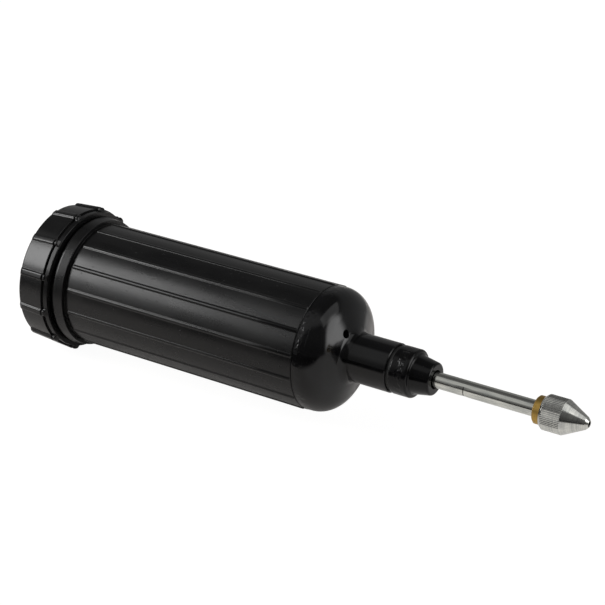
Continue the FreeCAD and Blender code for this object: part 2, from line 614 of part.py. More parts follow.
def gland_nut():
    """Gland nut: thread land, round nut with a rounded shoulder, and a conical nose with a hole for the plunger."""
    body = new_body("gland_nut", "gland_back")
    face = "gland_face - gland_back"
    shoulder = face + " + gland_length"
    ledge = "gland_ledge - gland_back"
    front = "nose_front - gland_back"
    revolve(body, "GlandBody", [
        ("0", "gland_chamber_radius"),
        ("0", "gland_thread_radius - thread_clearance - 0.4"),
        ("0.4", "gland_thread_radius - thread_clearance"),
        (face, "gland_thread_radius - thread_clearance"),
        (face, "gland_radius - gland_edge"),
        (face + " + gland_edge", "gland_radius"),
        (shoulder, "gland_radius", "gland_round"),
        (shoulder + " + 0.4", "nose_back_radius", "nose_fillet"),
        (front, "nose_front_radius", "nose_round"),
        (front, "nose_hole_radius + 0.3"),
        (front + " - 0.3", "nose_hole_radius"),
        ("packing_front - gland_back", "nose_hole_radius"),
        ("packing_front - gland_back", "packing_radius"),
        (ledge, "packing_radius"),
        (ledge, "gland_chamber_radius"),
    ])
    return body


def plunger_tube():
    """Plunger tube: a steel tube with a groove for its piston ring and one for the spring clip."""
    body = new_body("plunger_tube", "tube_back")
    length = "tube_front - tube_back"
    clip = "stop_station + stop_length + face_gap - tube_back"
    revolve(body, "Tube", [
        ("0", "plunger_bore"),
        ("0", "plunger_radius - 0.3"),
        ("0.3", "plunger_radius"),
        (length, "plunger_radius"),
        (length, "plunger_bore"),
    ])
    for name, start, thickness in (
        ("RingGroove", "piston_ring_offset - face_gap", "piston_ring_length + 2 * face_gap"),
        ("ClipGroove", clip + " - face_gap / 2", "clip_thickness + face_gap"),
    ):
        cut_round(body, name, [
            (start, "plunger_radius - groove_depth"),
            (start, "plunger_radius + 1"),
            (start + " + " + thickness, "plunger_radius + 1"),
            (start + " + " + thickness, "plunger_radius - groove_depth"),
        ])
    return body


def stop_clip():
    """Spring clip: an open ring in the tube's groove, in front of the collar."""
    body = washer("stop_clip", "stop_station + stop_length + face_gap", "clip_thickness",
                  "plunger_radius - groove_depth + 0.03", "clip_radius")
    mouth = outline(body, "ClipMouth", [
        ("-1", "-clip_radius - 1"),
        ("1", "-clip_radius - 1"),
        ("1", "-1"),
        ("-1", "-1"),
    ], "YZ_Plane")
    drill(body, "ClipOpening", mouth, "4 * clip_thickness", midplane=True)
    return body


def coupling():
    """Brass coupling on the end of the tube: a rounded rim, a thread land and the seat of the check valve."""
    body = new_body("coupling", "coupling_back")
    revolve(body, "CouplingBody", [
        ("0", "plunger_radius + 0.02"),
        ("0", "coupling_radius - coupling_edge"),
        ("coupling_edge", "coupling_radius"),
        ("coupling_rim", "coupling_radius"),
        ("coupling_rim", "coupling_thread_radius"),
        ("coupling_length - 0.4", "coupling_thread_radius"),
        ("coupling_length", "coupling_thread_radius - 0.4"),
        ("coupling_length", "valve_passage"),
        ("tube_front - coupling_back + 0.02", "valve_passage"),
        ("tube_front - coupling_back + 0.02", "plunger_radius + 0.02"),
    ])
    return body


def nozzle():
    """Nozzle: bevelled back, knurled land, cone and a small bevelled tip, with the check valve's chamber inside."""
    body = new_body("nozzle", "nozzle_back")
    ring_seat = "coupling_face + face_gap * 2 + nozzle_ring_thickness - nozzle_back"
    revolve(body, "NozzleBody", [
        ("0", "coupling_thread_radius + 0.08"),
        ("0", "nozzle_back_radius"),
        ("nozzle_bevel", "nozzle_radius"),
        ("knurl_end - nozzle_back", "nozzle_radius"),
        ("cone_end - nozzle_back", "cone_end_radius"),
        ("nozzle_front - nozzle_back", "tip_radius"),
        ("nozzle_front - nozzle_back", "orifice_radius"),
        ("valve_chamber_end - nozzle_back", "orifice_radius"),
        ("valve_chamber_end - nozzle_back", "valve_chamber_radius"),
        (ring_seat, "valve_chamber_radius"),
        (ring_seat, "coupling_thread_radius + 0.08"),
    ])
    return body


def check_ball():
    """Ball of the check valve, held against the coupling's passage."""
    ball = DOC.addObject("Part::Sphere", "check_ball")
    ball.Label = "check_ball"
    ball.setExpression("Radius", bound("ball_radius"))
    ball.setExpression("Placement.Base.x", bound("ball_station - origin_station"))
    ball.setExpression("Placement.Base.z", bound("axis_height"))
    return ball


def springs():
    """The plunger's return spring and the check valve's spring."""
    back = new_body("return_spring", "seat_station + seat_thickness + face_gap")
    coil(back, "ReturnCoil", "spring_length", "spring_radius", "spring_wire", "spring_turns")
    valve = new_body("valve_spring", "valve_spring_back")
    coil(valve, "ValveCoil", "valve_spring_length", "valve_spring_radius", "valve_wire", "valve_spring_turns")
    return [back, valve]


def follower_cup():
    """Soft cup seal: a web held behind the boss's rim, and a lip that leans out to the bore."""
    body = new_body("follower_cup", "follower_station + follower_length + face_gap")
    revolve(body, "CupSeal", [
        ("0", "boss_radius + 0.05"),
        ("0", "follower_radius - 0.4"),
        ("cup_lip", "cup_radius"),
        ("cup_lip", "cup_radius - 1"),
        ("cup_thickness", "follower_radius - 2.6"),
        ("cup_thickness", "boss_radius + 0.05"),
    ])
    return body


def rings_and_seals():
    """The plain washers and the sealing rings."""
    return [
        washer("cap_seal", "cap_floor + face_gap / 2", "seal_thickness", "bore_radius - 1.2",
               "barrel_thread_radius - 0.2"),
        washer("spring_seat", "seat_station", "seat_thickness", "plunger_radius + 0.3", "spring_bore_radius - 0.1"),
        washer("stop_collar", "stop_station", "stop_length", "plunger_radius + 0.03", "stop_radius"),
        washer("piston_ring", "tube_back + piston_ring_offset", "piston_ring_length",
               "plunger_radius - groove_depth + 0.03", "plunger_radius + running_clearance / 2"),
        washer("gland_seal", "neck_front + face_gap", "gland_seal_thickness", "gland_thread_radius + 0.05",
               "gland_seal_radius"),
        washer("guide_bush", "packing_front - face_gap - bush_length", "bush_length",
               "plunger_radius + running_clearance", "packing_radius - 0.05"),
        washer("nozzle_ring", "coupling_face + face_gap", "nozzle_ring_thickness", "valve_chamber_radius + 0.2",
               "coupling_thread_radius - 0.05"),
        washer("head_ring", "head_back + head_ring_offset", "head_ring_width", "bore_radius - head_ring_depth",
               "bore_radius - face_gap"),
        washer("rod_seal", "packing_front - 2 * face_gap - bush_length - rod_seal_width", "rod_seal_width",
               "plunger_radius + face_gap", "packing_radius - face_gap"),
    ]


def main():
    """Build the gun's pieces, make sure that each is sound, and write each to its own file."""
    fill_sheet()
    pieces = [
        end_cap(), barrel(), follower(), follower_cup(), head(), pump_cylinder(), gland_nut(), plunger_tube(),
        stop_clip(), coupling(), nozzle(), check_ball(),
    ]
    pieces += springs() + rings_and_seals()
    DOC.recompute()
    for item in DOC.Objects:
        if "Invalid" in item.State or "Error" in item.State:
            raise RuntimeError("%s did not build: %s" % (item.Label, item.State))
    os.makedirs("parts", exist_ok=True)
    for piece in pieces:
        shape = piece.Shape
        if shape.isNull() or not shape.isValid() or len(shape.Solids) != 1:
            raise RuntimeError(piece.Label + " is not one sound solid")
        shape.exportStep("parts/%s.step" % piece.Label)
        print("%-14s %9.2f mm3" % (piece.Label, shape.Volume))


main()
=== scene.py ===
"""Looks of a push-type hand grease gun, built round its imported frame.

The gun lies along X and its nozzle points to +X.  Every turned piece is an outline of (station, radius) corners in
millimetres, the station counted from the back of the cap, carried round the gun's own axis.  A turn is measured from
straight up towards -Y.  Reliefs such as ribs, lugs, threads and knurls are added to the radius of that surface.
"""

import logging
import math
import sys
from collections.abc import Callable, Sequence
from dataclasses import dataclass, field, replace
from enum import Enum

import bpy
import numpy as np
from bpy.types import Material, Node, NodeSocket, NodeTree, Object, World
from mathutils import Matrix, Vector


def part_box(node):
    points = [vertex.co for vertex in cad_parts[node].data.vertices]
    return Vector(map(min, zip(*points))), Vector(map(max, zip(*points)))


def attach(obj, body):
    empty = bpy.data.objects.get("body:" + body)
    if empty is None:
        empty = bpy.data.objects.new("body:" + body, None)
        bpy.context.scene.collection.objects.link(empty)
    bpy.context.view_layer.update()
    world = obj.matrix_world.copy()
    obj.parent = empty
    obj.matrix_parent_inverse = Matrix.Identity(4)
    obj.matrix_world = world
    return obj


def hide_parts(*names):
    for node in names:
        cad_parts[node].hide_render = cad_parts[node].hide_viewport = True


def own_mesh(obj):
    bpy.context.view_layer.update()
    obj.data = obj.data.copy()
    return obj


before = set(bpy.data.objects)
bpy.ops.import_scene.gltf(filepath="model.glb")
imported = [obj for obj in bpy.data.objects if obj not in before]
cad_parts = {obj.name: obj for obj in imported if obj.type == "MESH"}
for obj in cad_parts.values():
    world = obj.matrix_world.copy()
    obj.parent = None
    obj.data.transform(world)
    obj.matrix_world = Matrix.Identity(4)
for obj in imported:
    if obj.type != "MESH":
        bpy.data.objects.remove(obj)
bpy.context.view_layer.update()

LOG = logging.getLogger("grease_gun")
MM = 0.001
SUPPORT = 0.2  # how far beyond an arc an outline has its next point where there is room, in millimetres
THREAD_PITCH = 3.0  # of the cap on the barrel, in millimetres
FLAT_TURN = 0.6  # how much of a turn lies flat at each end of a coil
ON_FACE = 0.02  # how near to a radius a point of an outline lies to be on that face, in millimetres

Array = np.ndarray
Span = tuple[float, float]
Triple = tuple[float, float, float]
Relief = Callable[[Array, Array, Array], Array]
Inputs = dict[str, object]  # what goes into a shader's sockets: nodes, outputs and values

MIDDLE: Span = (0.3, 0.7)  # where most of a noise's values lie
SMOOTH = {"interpolation_type": "SMOOTHSTEP"}


# --- surfaces ---


def smooth_step(value: Array, low: float, high: float) -> Array:
    """Rises from 0 at low to 1 at high: with t the share of the way, 3 t squared less 2 t cubed."""
    t = np.clip((value - low) / (high - low), 0.0, 1.0)
    return t * t * (3.0 - 2.0 * t)


def held(value: Array, rise: Span, fall: Span) -> Array:
    """Rises smoothly from 0 to 1 over one span and goes back to 0 over another."""
    return smooth_step(value, *rise) * (1.0 - smooth_step(value, *fall))


def thread_crest(station: Array, turn: Array) -> Array:
    """Height of the thread, from 0 to 1: the cosine of 2 pi station / pitch - turn, with its flanks steepened."""
    return smooth_step(0.5 + 0.5 * np.cos(2.0 * math.pi * station / THREAD_PITCH - turn), 0.25, 0.75)


def rounded(corners: Sequence[Triple], steps: int = 6) -> Array:
    """Turns each corner of a closed outline into an arc.

    With half the angle between a corner's two sides written h, the arc of radius r touches both sides at r / tan h
    from the corner, its middle lies at r / sin h along the bisector, and its points are spread evenly over the turn
    T between the two touching points: at share t of it, (sin((1 - t) T) first + sin(t T) last) / sin T.  A point on
    each side just beyond the arc keeps the flat faces flat in shading.

    Args:
        corners: station, radius and rounding of each corner, in millimetres, in order round the outline.
        steps: points on each arc.

    Returns:
        The closed outline as an array of (station, radius) points.
    """
    table = np.array(corners, float)
    point, radius = table[:, :2], table[:, 2]
    back = np.roll(point, 1, axis=0) - point
    ahead = np.roll(point, -1, axis=0) - point
    back_length, ahead_length = (np.linalg.norm(side, axis=1, keepdims=True) for side in (back, ahead))
    back, ahead = back / back_length, ahead / ahead_length
    half = 0.5 * np.arccos(np.clip((back * ahead).sum(1), -1.0, 1.0))
    reach = radius / np.tan(half)
    bisector = back + ahead
    bisector /= np.maximum(np.linalg.norm(bisector, axis=1, keepdims=True), 1e-9)
    middle = point + bisector * (radius / np.sin(half))[:, None]
    first = (point + back * reach[:, None] - middle)[:, None, :]
    last = (point + ahead * reach[:, None] - middle)[:, None, :]
    turn = (math.pi - 2.0 * half)[:, None, None]
    share = np.linspace(0.0, 1.0, steps)[None, :, None]
    arc = middle[:, None, :] + (np.sin((1.0 - share) * turn) * first + np.sin(share * turn) * last) / np.sin(turn)
    before, after = (
        point + side * (reach[:, None] + np.minimum(SUPPORT, 0.3 * np.maximum(length - reach[:, None], 0.0)))
        for side, length in ((back, back_length), (ahead, ahead_length))
    )
    return np.concatenate([before[:, None, :], arc, after[:, None, :]], axis=1).reshape(-1, 2)


def divided(ring: Array, longest: float, low: float, high: float, above: float) -> Array:
    """Splits those runs of an outline into even pieces whose middle lies between two stations.

    Args:
        ring: closed outline of (station, radius) points.
        longest: longest piece allowed, in millimetres.
        low: first station of the stretch.
        high: last station of the stretch.
        above: radius that a run's middle lies beyond if it is split.

    Returns:
        The outline with the added points.
    """
    run = np.roll(ring, -1, axis=0) - ring
    centre = ring + 0.5 * run
    chosen = (centre[:, 0] > low) & (centre[:, 0] < high) & (centre[:, 1] > above)
    pieces = np.maximum(np.where(chosen, np.ceil(np.linalg.norm(run, axis=1) / longest), 1), 1).astype(int)
    start = np.repeat(np.arange(len(ring)), pieces)
    step = np.arange(pieces.sum()) - np.repeat(np.cumsum(pieces) - pieces, pieces)
    return ring[start] + run[start] * (step / pieces[start])[:, None]


def even_turns(count: int) -> Array:
    """Turns spread evenly over the circle, in radians."""
    return np.arange(count) * (2.0 * math.pi / count)


def feature_turns(count: int, first: float, half_width: float, fine: int, coarse: int) -> Array:
    """Turns that lie close together over each of several equal features and further apart between them.

    Args:
        count: features round the circle.
        first: turn of the middle of the first feature, in degrees.
        half_width: half the angle that a feature covers, in degrees.
        fine: turns over a feature.
        coarse: turns between two features.

    Returns:
        The turns in radians, rising.
    """
    pitch = 360.0 / count
    over = np.linspace(-half_width, half_width, fine)
    between = np.linspace(half_width, pitch - half_width, coarse + 2)[1:-1]
    one = np.concatenate([over, between])
    return np.radians((first + np.arange(count)[:, None] * pitch + one[None, :]).ravel())


def from_nearest(turns: Array, count: int, first: float) -> Array:
    """Angle from each turn to the nearest of several evenly spaced features, in radians."""
    pitch = 2.0 * math.pi / count
    return (turns - math.radians(first) + 0.5 * pitch) % pitch - 0.5 * pitch


@dataclass(frozen=True)
class Axis:
    """The gun's own line: x of the cap's back and height over the ground, in metres."""

    back: float
    height: float

    @classmethod
    def of_frame(cls) -> "Axis":
        """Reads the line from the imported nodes."""
        low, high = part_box("barrel")
        return cls(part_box("end_cap")[0].x, 0.5 * (low.z + high.z))

    def place(self, station: Array, radius: Array, turn: Array) -> Array:
        """Carries points round the axis.

        At station s, radius r and turn a, x = back + s, y = -r sin a and z = height + r cos a.

        Args:
            station: stations in millimetres.
            radius: radii in millimetres.
            turn: turns in radians.

        Returns:
            The points in metres, with their three coordinates as the last axis.
        """
        round_axis = -MM * radius * np.sin(turn), self.height + MM * radius * np.cos(turn)
        return np.stack(np.broadcast_arrays(self.back + MM * station, *round_axis), axis=-1)

    def point(self, station: float, radius: float = 0.0, turn: float = 0.0) -> Vector:
        """A point from its station and radius in millimetres and its turn in degrees."""
        return Vector(self.place(station, radius, math.radians(turn)))

    def revolve(self, name: str, ring: Array, turns: Array, relief: Relief | None = None) -> Object:
        """Carries a closed outline round the axis, with a relief added to its radius.

        Args:
            name: name of the piece.
            ring: closed outline of (station, radius) points in millimetres.
            turns: turns in radians, rising through one circle.
            relief: gives what is added to the radius from the stations, radii and turns.

        Returns:
            The piece, closed both ways, with its faces outwards.
        """
        station, radius, turn = ring[:, 0:1], ring[:, 1:2], turns[None, :]
        raised = relief(station, radius, turn) if relief else 0.0
        return closed_grid(name, self.place(station, radius + raised, turn))

    def wind(self, name: str, ends: Span, radius: float, wire: float, turns: float) -> Object:
        """Winds a round wire round the axis into a coil whose end turns lie flat.

        With t the share of the wire's length and f the flat part of a turn, the turn is 2 pi turns t, and the wire's
        middle goes from one end to the other as (turns t - f) / (turns - 2 f), held between 0 and 1.  A point at
        angle b round the wire lies half a wire times cos b further out and half a wire times sin b further along.

        Args:
            name: name of the piece.
            ends: stations of the coil's two ends, in millimetres.
            radius: radius of the wire's middle line, in millimetres.
            wire: thickness of the wire, in millimetres.
            turns: how often it goes round.

        Returns:
            The piece, with its wire's ends closed.
        """
        rows, columns = int(40 * turns) + 1, 14  # a row every 9 degrees, round enough for a wire out of sight
        turn, around = np.linspace(0.0, turns, rows)[:, None], even_turns(columns)[None, :]
        rise = np.clip((turn - FLAT_TURN) / (turns - 2.0 * FLAT_TURN), 0.0, 1.0)
        station = ends[0] + 0.5 * wire + (ends[1] - ends[0] - wire) * rise + 0.5 * wire * np.sin(around)
        grid = self.place(station, radius + 0.5 * wire * np.cos(around), 2.0 * math.pi * turn)
        return closed_grid(name, grid, endless=False)


def closed_grid(name: str, grid: Array, endless: bool = True) -> Object:
    """Makes a closed mesh from a grid of points whose columns go round.

    Args:
        name: name of the piece.
        grid: points as an array of rows, columns and three coordinates, in metres.
        endless: whether the last row joins the first; if not, a flat face closes each of the two.

    Returns:
        The smooth-shaded object at the origin.
    """
    rows, columns = grid.shape[:2]
    index = np.arange(rows * columns).reshape(rows, columns)
    below, beside = np.roll(index, -1, axis=0), np.roll(index, -1, axis=1)
    corner = np.roll(below, -1, axis=1)
    faces = np.stack([index, beside, corner, below], axis=-1)[: None if endless else -1].reshape(-1, 4)
    points = grid.reshape(-1, 3)
    first, second, third, fourth = (points[faces[:, k]] for k in range(4))
    # about six times the volume inside, which is negative where the faces point inwards
    volume = (first * (np.cross(second, third) + np.cross(third, fourth))).sum()
    ends = [] if endless else [index[0, ::-1], index[-1]]
    if volume < 0.0:
        faces, ends = faces[:, ::-1], [end[::-1] for end in ends]
    mesh = bpy.data.meshes.new(name)
    mesh.from_pydata(points, [], faces if endless else faces.tolist() + [end.tolist() for end in ends])
    mesh.validate()
    mesh.shade_smooth()
    if not endless:
        # the wire's cut ends stay flat in shading
        mesh.set_sharp_from_angle(angle=math.radians(60.0))
    piece = bpy.data.objects.new(name, mesh)
    bpy.context.scene.collection.objects.link(piece)
    return piece


# --- finishes ---


def linear(shade: str) -> tuple[float, float, float, float]:
    """Turns an sRGB shade to linear: c / 12.92 where it is dark, ((c + 0.055) / 1.055)^2.4 elsewhere.

    Args:
        shade: the shade as six hex digits.

    Returns:
        The linear colour, opaque.
    """
    value = np.array([int(shade[k : k + 2], 16) for k in (0, 2, 4)]) / 255.0
    light = np.where(value <= 0.04045, value / 12.92, ((value + 0.055) / 1.055) ** 2.4)
    return (*(float(x) for x in light), 1.0)


def bare_tree(owner: Material | World) -> NodeTree:
    """Gives a material or a world an empty node tree.

    Args:
        owner: the material or the world.

    Returns:
        Its tree.
    """
    owner.use_nodes = True
    owner.node_tree.nodes.clear()
    return owner.node_tree


def add_node(tree: NodeTree, kind: str, sockets: Sequence | dict = (), **settings: object) -> Node:
    """Adds one node to a tree.

    Args:
        tree: the node tree.
        kind: the node's type name after its "ShaderNode".
        sockets: what goes into its inputs, in their order or by name or number.  A node is linked by its first
            output, an output is linked as it is, and any other value is set.
        settings: the node's own properties.

    Returns:
        The node.
    """
    node = tree.nodes.new("ShaderNode" + kind)
    for key, value in settings.items():
        setattr(node, key, value)
    for key, value in sockets.items() if isinstance(sockets, dict) else enumerate(sockets):
        source = value.outputs[0] if isinstance(value, Node) else value
        if isinstance(source, NodeSocket):
            tree.links.new(source, node.inputs[key])
        else:
            node.inputs[key].default_value = source
    return node


class Grain(Enum):
    """Which way the fine marks of a metal's surface run."""

    ALONG = (0.02, 1.0, 1.0)
    AROUND = (1.0, 0.02, 0.02)
    EVERY_WAY = (1.0, 1.0, 1.0)


@dataclass(frozen=True)
class Finish:
    """A surface finish: its name, its shade and how far it is polished.

    Attributes:
        name: name of the material.
        shade: sRGB shade as six hex digits.
        polish: lowest and highest roughness.
    """

    name: str
    shade: str
    polish: Span

    def pattern(self, tree: NodeTree, size: float, stretch: Triple = (1, 1, 1),
                detail: float = 3.0, rough: float = 0.55) -> Node:
        """Spreads a noise over the piece, with blotches of a given size.

        Args:
            tree: the material's tree.
            size: size of a blotch in millimetres.
            stretch: how fast the pattern runs along X, Y and Z.
            detail: octaves of the noise.
            rough: how strong its finer octaves are.

        Returns:
            The noise, about 0.5 on average.
        """
        place = add_node(tree, "TexCoord").outputs["Object"]
        mapped = add_node(tree, "Mapping", {"Vector": place, "Scale": Vector(stretch) / (size * MM)})
        return add_node(tree, "TexNoise", {"Vector": mapped, "Scale": 1.0, "Detail": detail, "Roughness": rough})

    def patchy(self, tree: NodeTree, value: Node, other: str,
               shade_span: Span = MIDDLE, polish_span: Span = MIDDLE) -> Inputs:
        """Lets the shade and the roughness follow a noise.

        Args:
            tree: the material's tree.
            value: the noise.
            other: sRGB shade where the noise is high; where it is low, the finish's own shade stays.
            shade_span: span of the noise over which the shade goes from one to the other.
            polish_span: span over which the roughness goes from its lowest to its highest.

        Returns:
            Both, for the shader.
        """
        share = add_node(tree, "MapRange", (value, *shade_span))
        shade = add_node(tree, "Mix", {0: share, 6: linear(self.shade), 7: linear(other)}, data_type="RGBA")
        rough = add_node(tree, "MapRange", (value, *polish_span, *self.polish))
        return {"Base Color": shade.outputs[2], "Roughness": rough}

    def bumps(self, tree: NodeTree, *layers: tuple[Node, float]) -> Node:
        """Lays bumps over each other.

        Args:
            tree: the material's tree.
            layers: height of each bump, from 0 to 1, and the depth in millimetres that the whole height stands for.

        Returns:
            The normal of them all.
        """
        under = {}
        for height, depth in layers:
            under = {"Normal": add_node(tree, "Bump", {"Height": height, "Distance": depth * MM, **under})}
        return under["Normal"]

    def inputs(self, tree: NodeTree) -> Inputs:
        """Adds the finish's own nodes.

        Args:
            tree: the material's tree.

        Returns:
            What goes into its shader's sockets, by their names.
        """
        raise NotImplementedError

    def material(self) -> Material:
        """Builds the material once.

        Returns:
            The material, or the one of its name that is there already.
        """
        found = bpy.data.materials.get(self.name)
        if found:
            return found
        made = bpy.data.materials.new(self.name)
        tree = bare_tree(made)
        shader = add_node(tree, "BsdfPrincipled", {"Base Color": linear(self.shade), **self.inputs(tree)})
        add_node(tree, "OutputMaterial", {"Surface": shader})
        return made


@dataclass(frozen=True)
class MouldedPlastic(Finish):
    """Injection-moulded plastic.  It gives the eye broad soft highlights that waver over shallow sinks.

    Attributes:
        dusty: shade of the thin dust that settles in patches.
        sink: depth of the shallow sinks left as the wall cooled, in millimetres.
        peel: depth of the fine texture of the mould, in millimetres.
        nick: depth of the few small nicks, in millimetres.
        gloss: strength of the reflection, 0.5 on clean plastic and less under a haze.
    """

    dusty: str
    sink: float = 0.02
    peel: float = 0.002
    nick: float = 0.09
    gloss: float = 0.34

    def inputs(self, tree: NodeTree) -> Inputs:
        """Adds patches of thin dust, sinks, mould texture and a few small nicks.

        Args:
            tree: the material's tree.

        Returns:
            What goes into its shader's sockets, by their names.
        """
        # sinks run along the flow of the melt, some 20 mm long, and dust lies in patches a little longer
        sinks = self.pattern(tree, 9.0, (0.45, 1.0, 1.0), 1.0)
        dust = self.pattern(tree, 8.0, (0.3, 1.0, 1.0), 5.0)
        # the texture of a polished mould is finer than 0.1 mm; drawn at 0.35 mm so that it holds together in a render
        grain = self.pattern(tree, 0.35, detail=2.0)
        # only the highest tops of a noise make nicks, so they lie far apart
        nicks = add_node(tree, "MapRange", (self.pattern(tree, 1.4, detail=1.0), 0.735, 0.765))
        return {
            **self.patchy(tree, dust, self.dusty),
            "Specular IOR Level": self.gloss,
            "Normal": self.bumps(tree, (sinks, self.sink), (grain, self.peel), (nicks, -self.nick)),
        }


@dataclass(frozen=True)
class Enamel(Finish):
    """Gloss enamel over cast metal.  It gives crisp, dark reflections, broken where the casting's skin is rough.

    Attributes:
        blister: height of the blisters in a rough band of the casting, in millimetres.
        rough_from: where that band starts along X, in metres.
        rough_to: where it ends.
        swell: how far a face swells from its rim to its middle beyond its plain cone, in millimetres.
        swell_radii: radii between which the swelling falls away, in millimetres.
        centre: height of that face's axis over the floor, in metres.
        peel: depth of the coat's slow waves, in millimetres.
        pit: depth of the few small pits, in millimetres.
        gloss: strength of the reflection, 0.5 on a clean coat and less where oil has dried on it.
    """

    blister: float
    rough_from: float = 0.0
    rough_to: float = 0.0
    swell: float = 0.0
    swell_radii: Span = (10.0, 24.0)
    centre: float = 0.0
    peel: float = 0.005
    pit: float = 0.05
    gloss: float = 0.36

    def band(self, tree: NodeTree) -> Node:
        """Adds the patches of the rough band, in blotches of 3.5 mm.

        Args:
            tree: the material's tree.

        Returns:
            Their strength, from 0 to 1 in the band and 0 beyond its ends.
        """
        place = add_node(tree, "TexCoord").outputs["Object"]
        middle, half = 0.5 * (self.rough_from + self.rough_to), 0.5 * abs(self.rough_to - self.rough_from)
        inside = add_node(tree, "Math", (add_node(tree, "SeparateXYZ", (place,)), middle, half), operation="COMPARE")
        patches = add_node(tree, "MapRange", (self.pattern(tree, 3.5, detail=2.0), 0.42, 0.60))
        return add_node(tree, "Math", (inside, patches), operation="MULTIPLY")

    def crown(self, tree: NodeTree) -> Node:
        """Adds the height of the face's swelling, which falls away smoothly with the distance from the axis.

        Args:
            tree: the material's tree.

        Returns:
            The height, from 1 inside to 0 at the rim.
        """
        place = add_node(tree, "TexCoord").outputs["Object"]
        away = add_node(tree, "VectorMath", (place, (0.0, 0.0, self.centre)), operation="SUBTRACT")
        away = add_node(tree, "VectorMath", (away, (0.0, 1.0, 1.0)), operation="MULTIPLY")
        radius = add_node(tree, "VectorMath", (away,), operation="LENGTH").outputs["Value"]
        inner, outer = self.swell_radii
        return add_node(tree, "MapRange", (radius, inner * MM, outer * MM, 1.0, 0.0), **SMOOTH)

    def inputs(self, tree: NodeTree) -> Inputs:
        """Adds the face's swelling, slow waves of the coat, blisters in the rough band and a few small pits.

        Args:
            tree: the material's tree.

        Returns:
            What goes into its shader's sockets, by their names.
        """
        waves, blisters = self.pattern(tree, 3.0, detail=1.0), self.pattern(tree, 0.8, detail=2.0)
        blisters = add_node(tree, "Math", (blisters, self.band(tree)), operation="MULTIPLY")
        pits = add_node(tree, "MapRange", (self.pattern(tree, 0.9, detail=1.0), 0.78, 0.84))
        layers = (self.crown(tree), self.swell), (waves, self.peel), (blisters, self.blister), (pits, -self.pit)
        return {
            "Roughness": add_node(tree, "MapRange", (self.pattern(tree, 2.0), *MIDDLE, *self.polish)),
            "Specular IOR Level": self.gloss,
            "Normal": self.bumps(tree, *layers),
        }


@dataclass(frozen=True)
class BrightMetal(Finish):
    """Bare or plated metal.  It mirrors the room in stretched bands that fine marks break up.

    Attributes:
        grain: which way the marks run.
        mark: width of a mark, in millimetres.
        depth: depth of a mark, in millimetres.
        dull: shade of its duller places.
        scribe: place along X of a scribed line that is darkened with painted shade, in metres, or 0 for none.
        line_shade_half: half the width of that painted shade, in millimetres.
        line_shade_under: height over the floor that the painted shade stays under, in metres.
        line_shade: colour of the painted shade in the line.
    """

    grain: Grain
    mark: float
    depth: float
    dull: str
    scribe: float = 0.0
    line_shade_half: float = 0.22
    line_shade_under: float = 0.0
    line_shade: str = "65645f"

    def with_painted_line_shade(self, tree: NodeTree, shade: NodeSocket) -> NodeSocket:
        """Paints shade into the scribed line, over a colour.

        Args:
            tree: the material's tree.
            shade: the shade.

        Returns:
            The shade with the line.
        """
        # painted shade in the scribed line: the metal's colour is darkened near the line's place, below a height
        place = add_node(tree, "TexCoord").outputs["Object"]
        east, _north, up = add_node(tree, "SeparateXYZ", (place,)).outputs
        near = add_node(tree, "Math", (east, self.scribe, self.line_shade_half * MM), operation="COMPARE")
        under = add_node(tree, "Math", (up, self.line_shade_under), operation="LESS_THAN")
        both = add_node(tree, "Math", (near, under), operation="MULTIPLY")
        return add_node(tree, "Mix", {0: both, 6: shade, 7: linear(self.line_shade)}, data_type="RGBA").outputs[2]

    def inputs(self, tree: NodeTree) -> Inputs:
        """Adds marks in the grain's direction, cloudy dull places and roughness that follows both.

        Args:
            tree: the material's tree.

        Returns:
            What goes into its shader's sockets, by their names.
        """
        marks = self.pattern(tree, self.mark, self.grain.value, 4.0, 0.6)
        clouds = self.pattern(tree, 2.4, (0.35, 1.0, 1.0), 4.0, 0.65)
        # the sum of the two noises lies about 1
        both = add_node(tree, "Math", (marks, clouds), operation="ADD")
        looks = self.patchy(tree, both, self.dull, (0.85, 1.25), (0.8, 1.2))
        # painted shade darkens the scribed line
        if self.scribe:
            looks["Base Color"] = self.with_painted_line_shade(tree, looks["Base Color"])
        return {**looks, "Metallic": 1.0, "Normal": self.bumps(tree, (marks, self.depth))}


@dataclass(frozen=True)
class Nitrile(Finish):
    """Oil-proof rubber.  It gives a dull sheen with a fine bloom.

    Attributes:
        bloom: shade of the bloom.
        texture: depth of the moulded grain, in millimetres.
    """

    bloom: str = "2c2b2a"
    texture: float = 0.006

    def inputs(self, tree: NodeTree) -> Inputs:
        """Adds bloom in soft patches and a fine moulded grain.

        Args:
            tree: the material's tree.

        Returns:
            What goes into its shader's sockets, by their names.
        """
        looks = self.patchy(tree, self.pattern(tree, 3.0, detail=4.0), self.bloom)
        return {**looks, "Normal": self.bumps(tree, (self.pattern(tree, 0.25), self.texture))}


# black glass-filled nylon: soft, slightly grey gloss
CAP_NYLON = MouldedPlastic("cap_nylon", "0c0c0d", (0.20, 0.28), "151515", sink=0.015, peel=0.003, gloss=0.31)
# black polypropylene from a polished mould: clearer gloss and wavering reflections
BARREL_PLASTIC = MouldedPlastic("barrel_polypropylene", "0b0b0c", (0.23, 0.36), "121212", sink=0.03)
# natural polyethylene: milky and waxy
FOLLOWER_PLASTIC = MouldedPlastic("natural_polyethylene", "b4b3aa", (0.40, 0.52), "a4a298")
# stoved gloss enamel on a smooth casting: a dark mirror, blistered by the seam
HEAD_ENAMEL = Enamel("stoved_enamel", "0b0b0c", (0.09, 0.15), 0.13, swell=1.4)
# the same enamel on the rougher casting of the nut: broken glints
NUT_ENAMEL = Enamel("enamel_on_rough_casting", "0b0b0c", (0.08, 0.14), 0.25, gloss=0.24)
# bright zinc over drawn tube: streaks along it
TUBE_ZINC = BrightMetal("zinc_on_drawn_tube", "d8d8d1", (0.12, 0.24), Grain.ALONG, 0.35, 0.004, "b4b6b2")
# bright zinc over turned steel: rings round it
NOZZLE_ZINC = BrightMetal("zinc_on_turned_steel", "dadad4", (0.10, 0.20), Grain.AROUND, 0.45, 0.035, "b2b3b0")
